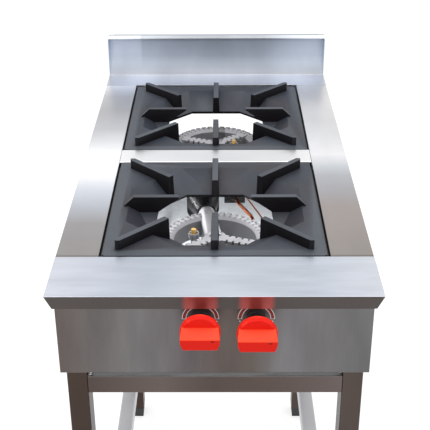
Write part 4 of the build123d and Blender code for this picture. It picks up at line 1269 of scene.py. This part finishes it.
@dataclass
class Body(SubAssembly):
    """The control panel, its printed dials, and the side panels.

    An arc is where a band starts, in degrees from straight down, clockwise as seen, and how far it
    runs the other way from there.
    """

    coats: tuple[Coat, ...] = (
        Coat(PANEL_STEEL, 1.6 * MM, ("control_panel",)),
        Coat(SIDE_STEEL, 1.6 * MM, ("left_side_panel", "right_side_panel")),
    )
    panel_face: float = -0.4153
    knob_height: float = 0.849
    dial_outer: float = 25.0 * MM
    dial_width: float = 6.0 * MM
    outline: float = 1.0 * MM
    outline_arc: Pair = (-88.0, 184.0)
    band_arc: Pair = (-90.0, 180.0)
    arc_steps: int = 40
    dot: float = 1.1 * MM
    dot_drop: float = 4.4 * MM
    film: float = 0.15 * MM
    weld: float = 0.000001

    def build(self) -> None:
        """Dresses the sheets and prints the dials."""
        super().build()
        for side, across in KNOB_PLACES:
            self.print_dial(side, across)

    def ink(self, film: Piece, recipe: Finish) -> None:
        """Inks a printed film, which rides on the body."""
        self.shop.paint(film, recipe)
        self.shop.hand_over(film, "range_body", "body_steel")

    def sector(self, name: str, across: float, inset: float, lift: float, arc: Pair) -> Piece:
        """A thin curved band on the panel's face, spun from one small block.

        Args:
            name: The piece's name.
            across: The knob axis's x.
            inset: How far it keeps inside the dial's edges.
            lift: How far its face stands off the panel.
            arc: Where it starts and how far it runs.

        Returns:
            The band.
        """
        axis = Vector((across, self.panel_face, self.knob_height))
        inner = self.dial_outer - self.dial_width + inset
        outer = self.dial_outer - inset
        start, sweep = (math.radians(angle) for angle in arc)
        band = start_piece(name, bpy.ops.mesh.primitive_plane_add, size=1.0)
        turn = Matrix.Rotation(start, 4, "Y")
        reach = Matrix.Translation(Vector((0, -lift / 2, -(inner + outer) / 2)))
        shape = Matrix.Diagonal((1, lift, outer - inner, 1)) @ Matrix.Rotation(math.radians(90), 4, "Y")
        band.matrix_world = Matrix.Translation(axis) @ turn @ reach @ shape
        settle(band)

        def sweep_round(edit: Edit) -> None:
            """Spins the block's face about the knob's axis."""
            bpy.ops.mesh.select_all(action="SELECT")
            bpy.ops.mesh.spin(steps=self.arc_steps, angle=sweep, center=axis, axis=(0, 1, 0))
            bpy.ops.mesh.select_all(action="SELECT")
            bpy.ops.mesh.remove_doubles(threshold=self.weld)
            bpy.ops.mesh.normals_make_consistent(inside=False)

        in_edit(band, sweep_round)
        return band

    def print_dial(self, side: str, across: float) -> None:
        """Prints one dial: a white outlined arc filled dark red, with a dot at each end.

        Args:
            side: Which knob it belongs to.
            across: The knob axis's x.
        """
        self.ink(self.sector(side + "_dial_outline", across, 0.0, self.film, self.outline_arc), WHITE_INK)
        self.ink(self.sector(side + "_dial_band", across, self.outline, self.film * 1.5, self.band_arc), RED_INK)
        for end in (-1, 1):
            dot = start_piece(
                f"{side}_dial_dot_{'low' if end < 0 else 'high'}",
                bpy.ops.mesh.primitive_cylinder_add,
                vertices=20,
                radius=self.dot,
                depth=self.film,
                location=(
                    across + end * (self.dial_outer - self.dial_width / 2),
                    self.panel_face - self.film / 2,
                    self.knob_height - self.dot_drop,
                ),
                rotation=(math.pi / 2, 0, 0),
            )
            settle(dot)
            self.ink(dot, WHITE_INK)


@dataclass
class Stand(SubAssembly):
    """The welded leg stand with its feet, the burner supports, and the drip tray on its runners."""

    coats: tuple[Coat, ...] = (
        Coat(STAND_STEEL, 2.4 * MM, ("front_left_leg", "front_right_leg", "rear_left_leg", "rear_right_leg")),
        Coat(RAIL_STEEL, 2.4 * MM, ("front_upper_rail", "rear_upper_rail", "left_upper_rail", "right_upper_rail")),
        Coat(STRETCHER_STEEL, 2.4 * MM, ("left_lower_stretcher", "right_lower_stretcher")),
        Coat(ZINC, 1.0 * MM, ("left_tray_runner", "right_tray_runner")),
        Coat(BLACK_PLASTIC, 1.2 * MM, ("leg_feet",)),
        Coat(SOLE_RUBBER, 0.8 * MM, ("foot_soles",)),
        Coat(TRAY_STEEL, 1.2 * MM, ("drip_tray",)),
        Coat(ZINC, 1.2 * MM, ("burner_supports",)),
        Coat(ZINC, 0.4 * MM, ("fasteners",)),
    )


@dataclass
class Burners(SubAssembly):
    """The ring burners with their mixers, injectors and pilots.

    The last four sizes of the pilots' heads are shares of their radius and height.
    """

    coats: tuple[Coat, ...] = (
        Coat(BURNER_CAST, 1.6 * MM, ("front_ring_burner", "rear_ring_burner")),
        Coat(BLACK_ENAMEL, 1.0 * MM, ("front_mixer", "rear_mixer")),
        Coat(BLACK_ENAMEL, 0.5 * MM, ("front_injector", "rear_injector")),
        Coat(ZINC, 0.6 * MM, ("front_pilot", "rear_pilot")),
        Coat(BRASS, 0.4 * MM, ("pilot_tips",)),
        Coat(BLACK_ENAMEL, 0.8 * MM, ("injector_hangers",)),
    )
    pilot_places: tuple[tuple[str, float, float], ...] = (("front", -0.034, -0.1503), ("rear", 0.034, 0.2057))
    head_radius: float = 4.6 * MM
    head_height: float = 9.0 * MM
    head_top: float = 0.8425
    head_edge: float = 0.4 * MM
    shoulder: float = 0.3
    collar: float = 0.25
    collar_rise: float = 0.25
    middle_drop: float = 0.2

    def build(self) -> None:
        """Dresses the castings and fits the pilots' heads."""
        super().build()
        for row, across, depth in self.pilot_places:
            self.add_head(row, across, depth)

    def add_head(self, row: str, across: float, depth: float) -> None:
        """Fits the six-sided brass head around one pilot's tip.

        Args:
            row: Which burner the pilot lights.
            across: The pilot's x.
            depth: The pilot's y.
        """
        head = start_piece(
            row + "_pilot_head",
            bpy.ops.mesh.primitive_cylinder_add,
            vertices=6,
            radius=self.head_radius,
            depth=self.head_height,
            location=(across, depth, self.head_top - self.head_height / 2),
        )
        settle(head)

        def crown(edit: Edit) -> None:
            """Draws the top face in and up into a collar with a sunk middle."""
            choose(head.data, edit, lambda face: face.normal.z > 0.9)
            for inset, rise in ((self.shoulder, self.collar_rise), (self.collar, -self.middle_drop)):
                bpy.ops.mesh.inset(thickness=self.head_radius * inset)
                bpy.ops.mesh.extrude_region_move(TRANSFORM_OT_translate={"value": (0, 0, self.head_height * rise)})

        in_edit(head, crown)
        apply_modifier(head, "BEVEL", width=self.head_edge, segments=2, limit_method="ANGLE")
        self.shop.smooth(head)
        self.shop.paint(head, BRIGHT_BRASS)
        self.shop.hand_over(head, "range_body", "brass")


@dataclass
class GasTrain(SubAssembly):
    """The manifold, the pipes and the valves."""

    coats: tuple[Coat, ...] = (
        Coat(PIPE_STEEL, 0.8 * MM, ("gas_manifold", "supply_elbow", "supply_pipe", "gas_inlet")),
        Coat(COPPER, 0.6 * MM, ("front_feed_pipe", "rear_feed_pipe")),
        Coat(COPPER, 0.4 * MM, ("front_pilot_pipe", "rear_pilot_pipe")),
        Coat(BRASS, 0.8 * MM, ("left_valve_body", "right_valve_body")),
        Coat(BRASS, 0.4 * MM, ("left_valve_plug", "left_valve_spindle", "right_valve_plug", "right_valve_spindle")),
    )


@dataclass
class Knobs(SubAssembly):
    """The two red knobs, their inserts and the panel bezels."""

    coats: tuple[Coat, ...] = (
        Coat(RED_PLASTIC, 1.6 * MM, ("left_knob", "right_knob")),
        Coat(BLACK_PLASTIC, 0.6 * MM, ("left_knob_insert", "right_knob_insert")),
        Coat(BLACK_PLASTIC, 0.8 * MM, ("left_bezel", "right_bezel")),
    )


# Studio


@dataclass(frozen=True)
class Lamp:
    """A soft rectangular lamp aimed at a target."""

    name: str
    place: Triple
    size: Pair
    power: float
    target: Triple = (0.0, 0.0, 0.6)

    def hang(self) -> None:
        """Adds the lamp to the scene."""
        data = bpy.data.lights.new(self.name, "AREA")
        data.shape = "RECTANGLE"
        data.size, data.size_y = self.size
        data.energy = self.power
        lamp = bpy.data.objects.new(self.name, data)
        lamp.location = self.place
        aim = Vector(self.target) - Vector(self.place)
        lamp.rotation_euler = aim.to_track_quat("-Z", "Y").to_euler()
        bpy.context.scene.collection.objects.link(lamp)


# A large one overhead, a weaker one at each front corner, and two faint ones that fill the hollow under the hob.
LAMPS = (
    Lamp("overhead", (0.0, 0.2, 4.2), (4.0, 4.0), 110.0),
    Lamp("front_left", (-3.0, -3.2, 2.6), (2.4, 2.0), 34.0),
    Lamp("front_right", (3.0, -3.0, 2.6), (2.4, 2.0), 30.0),
    Lamp("under_hob_left", (-0.186, -0.07, 0.864), (0.16, 0.02), 0.82, (0.0, -0.06, 0.722)),
    Lamp("under_hob_right", (0.186, -0.07, 0.864), (0.16, 0.02), 0.82, (0.0, -0.06, 0.722)),
)


@dataclass
class Studio:
    """The pale floor, the soft lights, the white backdrop and the camera. Its angles are in degrees."""

    eye: Triple = (0.0093, -1.5039, 1.5734)
    pitch: float = 27.554
    yaw: float = -0.443
    roll: float = -0.302
    lens: float = 81.21
    shift: Pair = (0.0014, 0.0003)
    floor_size: float = 24.0
    floor_tone: Colour = (0.48, 0.48, 0.48, 1.0)
    white: Colour = (1.0, 1.0, 1.0, 1.0)
    room_level: float = 0.62
    floor_lift: float = 0.64

    def build(self) -> None:
        """Makes the studio."""
        bpy.context.scene.view_settings.view_transform = "Standard"
        self.build_camera()
        self.build_world()
        self.build_floor()
        for lamp in LAMPS:
            lamp.hang()

    def build_camera(self) -> None:
        """Sets the camera at the photograph's viewpoint."""
        pitch, yaw, roll = (math.radians(angle) for angle in (self.pitch, self.yaw, self.roll))
        ahead = Vector((math.sin(yaw) * math.cos(pitch), math.cos(yaw) * math.cos(pitch), -math.sin(pitch)))
        right = Vector((math.cos(yaw), -math.sin(yaw), 0))
        up = right.cross(ahead)
        rolled_right = right * math.cos(roll) + up * math.sin(roll)
        rolled_up = up * math.cos(roll) - right * math.sin(roll)
        turn = Matrix((rolled_right, rolled_up, -ahead)).transposed().to_4x4()
        camera = bpy.data.objects.new("camera", bpy.data.cameras.new("camera"))
        bpy.context.scene.collection.objects.link(camera)
        camera.matrix_world = Matrix.Translation(Vector(self.eye)) @ turn
        camera.data.sensor_width = 36.0
        camera.data.lens = self.lens
        camera.data.shift_x, camera.data.shift_y = self.shift
        camera.data.clip_start = 0.05
        camera.data.clip_end = 100.0
        bpy.context.scene.camera = camera

    def seen_share(self, wire: Wiring) -> Socket:
        """1 for camera, glossy and transmission rays, else 0.

        Args:
            wire: The wiring of the world or the floor.

        Returns:
            The mask.
        """
        path = wire.add("LightPath")
        both = wire.math("MAXIMUM", path.outputs["Is Camera Ray"], path.outputs["Is Glossy Ray"])
        return wire.math("MAXIMUM", both, path.outputs["Is Transmission Ray"])

    def build_world(self) -> None:
        """A world that is seen as white and lights the room softly."""
        world = bpy.data.worlds.new("studio_room")
        wire = bare_wiring(world)
        room = wire.fill(wire.add("Background"), Color=self.white, Strength=self.room_level)
        seen = wire.fill(wire.add("Background"), Color=self.white)
        mix = wire.fill(wire.add("MixShader"), self.seen_share(wire), room.outputs[0], seen.outputs[0])
        wire.fill(wire.add("OutputWorld"), Surface=mix.outputs[0])
        bpy.context.scene.world = world

    def build_floor(self) -> None:
        """A plain pale floor that keeps the range's shadow and is seen as white."""
        floor = start_piece("studio_floor", bpy.ops.mesh.primitive_plane_add, size=self.floor_size)
        material = bpy.data.materials.new("studio_floor")
        wire = bare_wiring(material)
        matt = wire.fill(wire.add("BsdfDiffuse"), Color=self.floor_tone)
        lift = wire.times(self.seen_share(wire), self.floor_lift)
        glow = wire.fill(wire.add("Emission"), Color=self.white, Strength=lift)
        both = wire.fill(wire.add("AddShader"), matt.outputs[0], glow.outputs[0])
        wire.fill(wire.add("OutputMaterial"), Surface=both.outputs[0])
        floor.data.materials.append(material)


def main() -> None:
    """Builds the studio and every sub-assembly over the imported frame."""
    logging.basicConfig(level=logging.INFO, format="%(message)s")
    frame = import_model()
    shop = Workshop(frame, Effects())
    Studio().build()
    for part in (Hob(shop), Grates(shop), Body(shop), Stand(shop), Burners(shop), GasTrain(shop), Knobs(shop)):
        part.build()


if __name__ == "__main__":
    main()
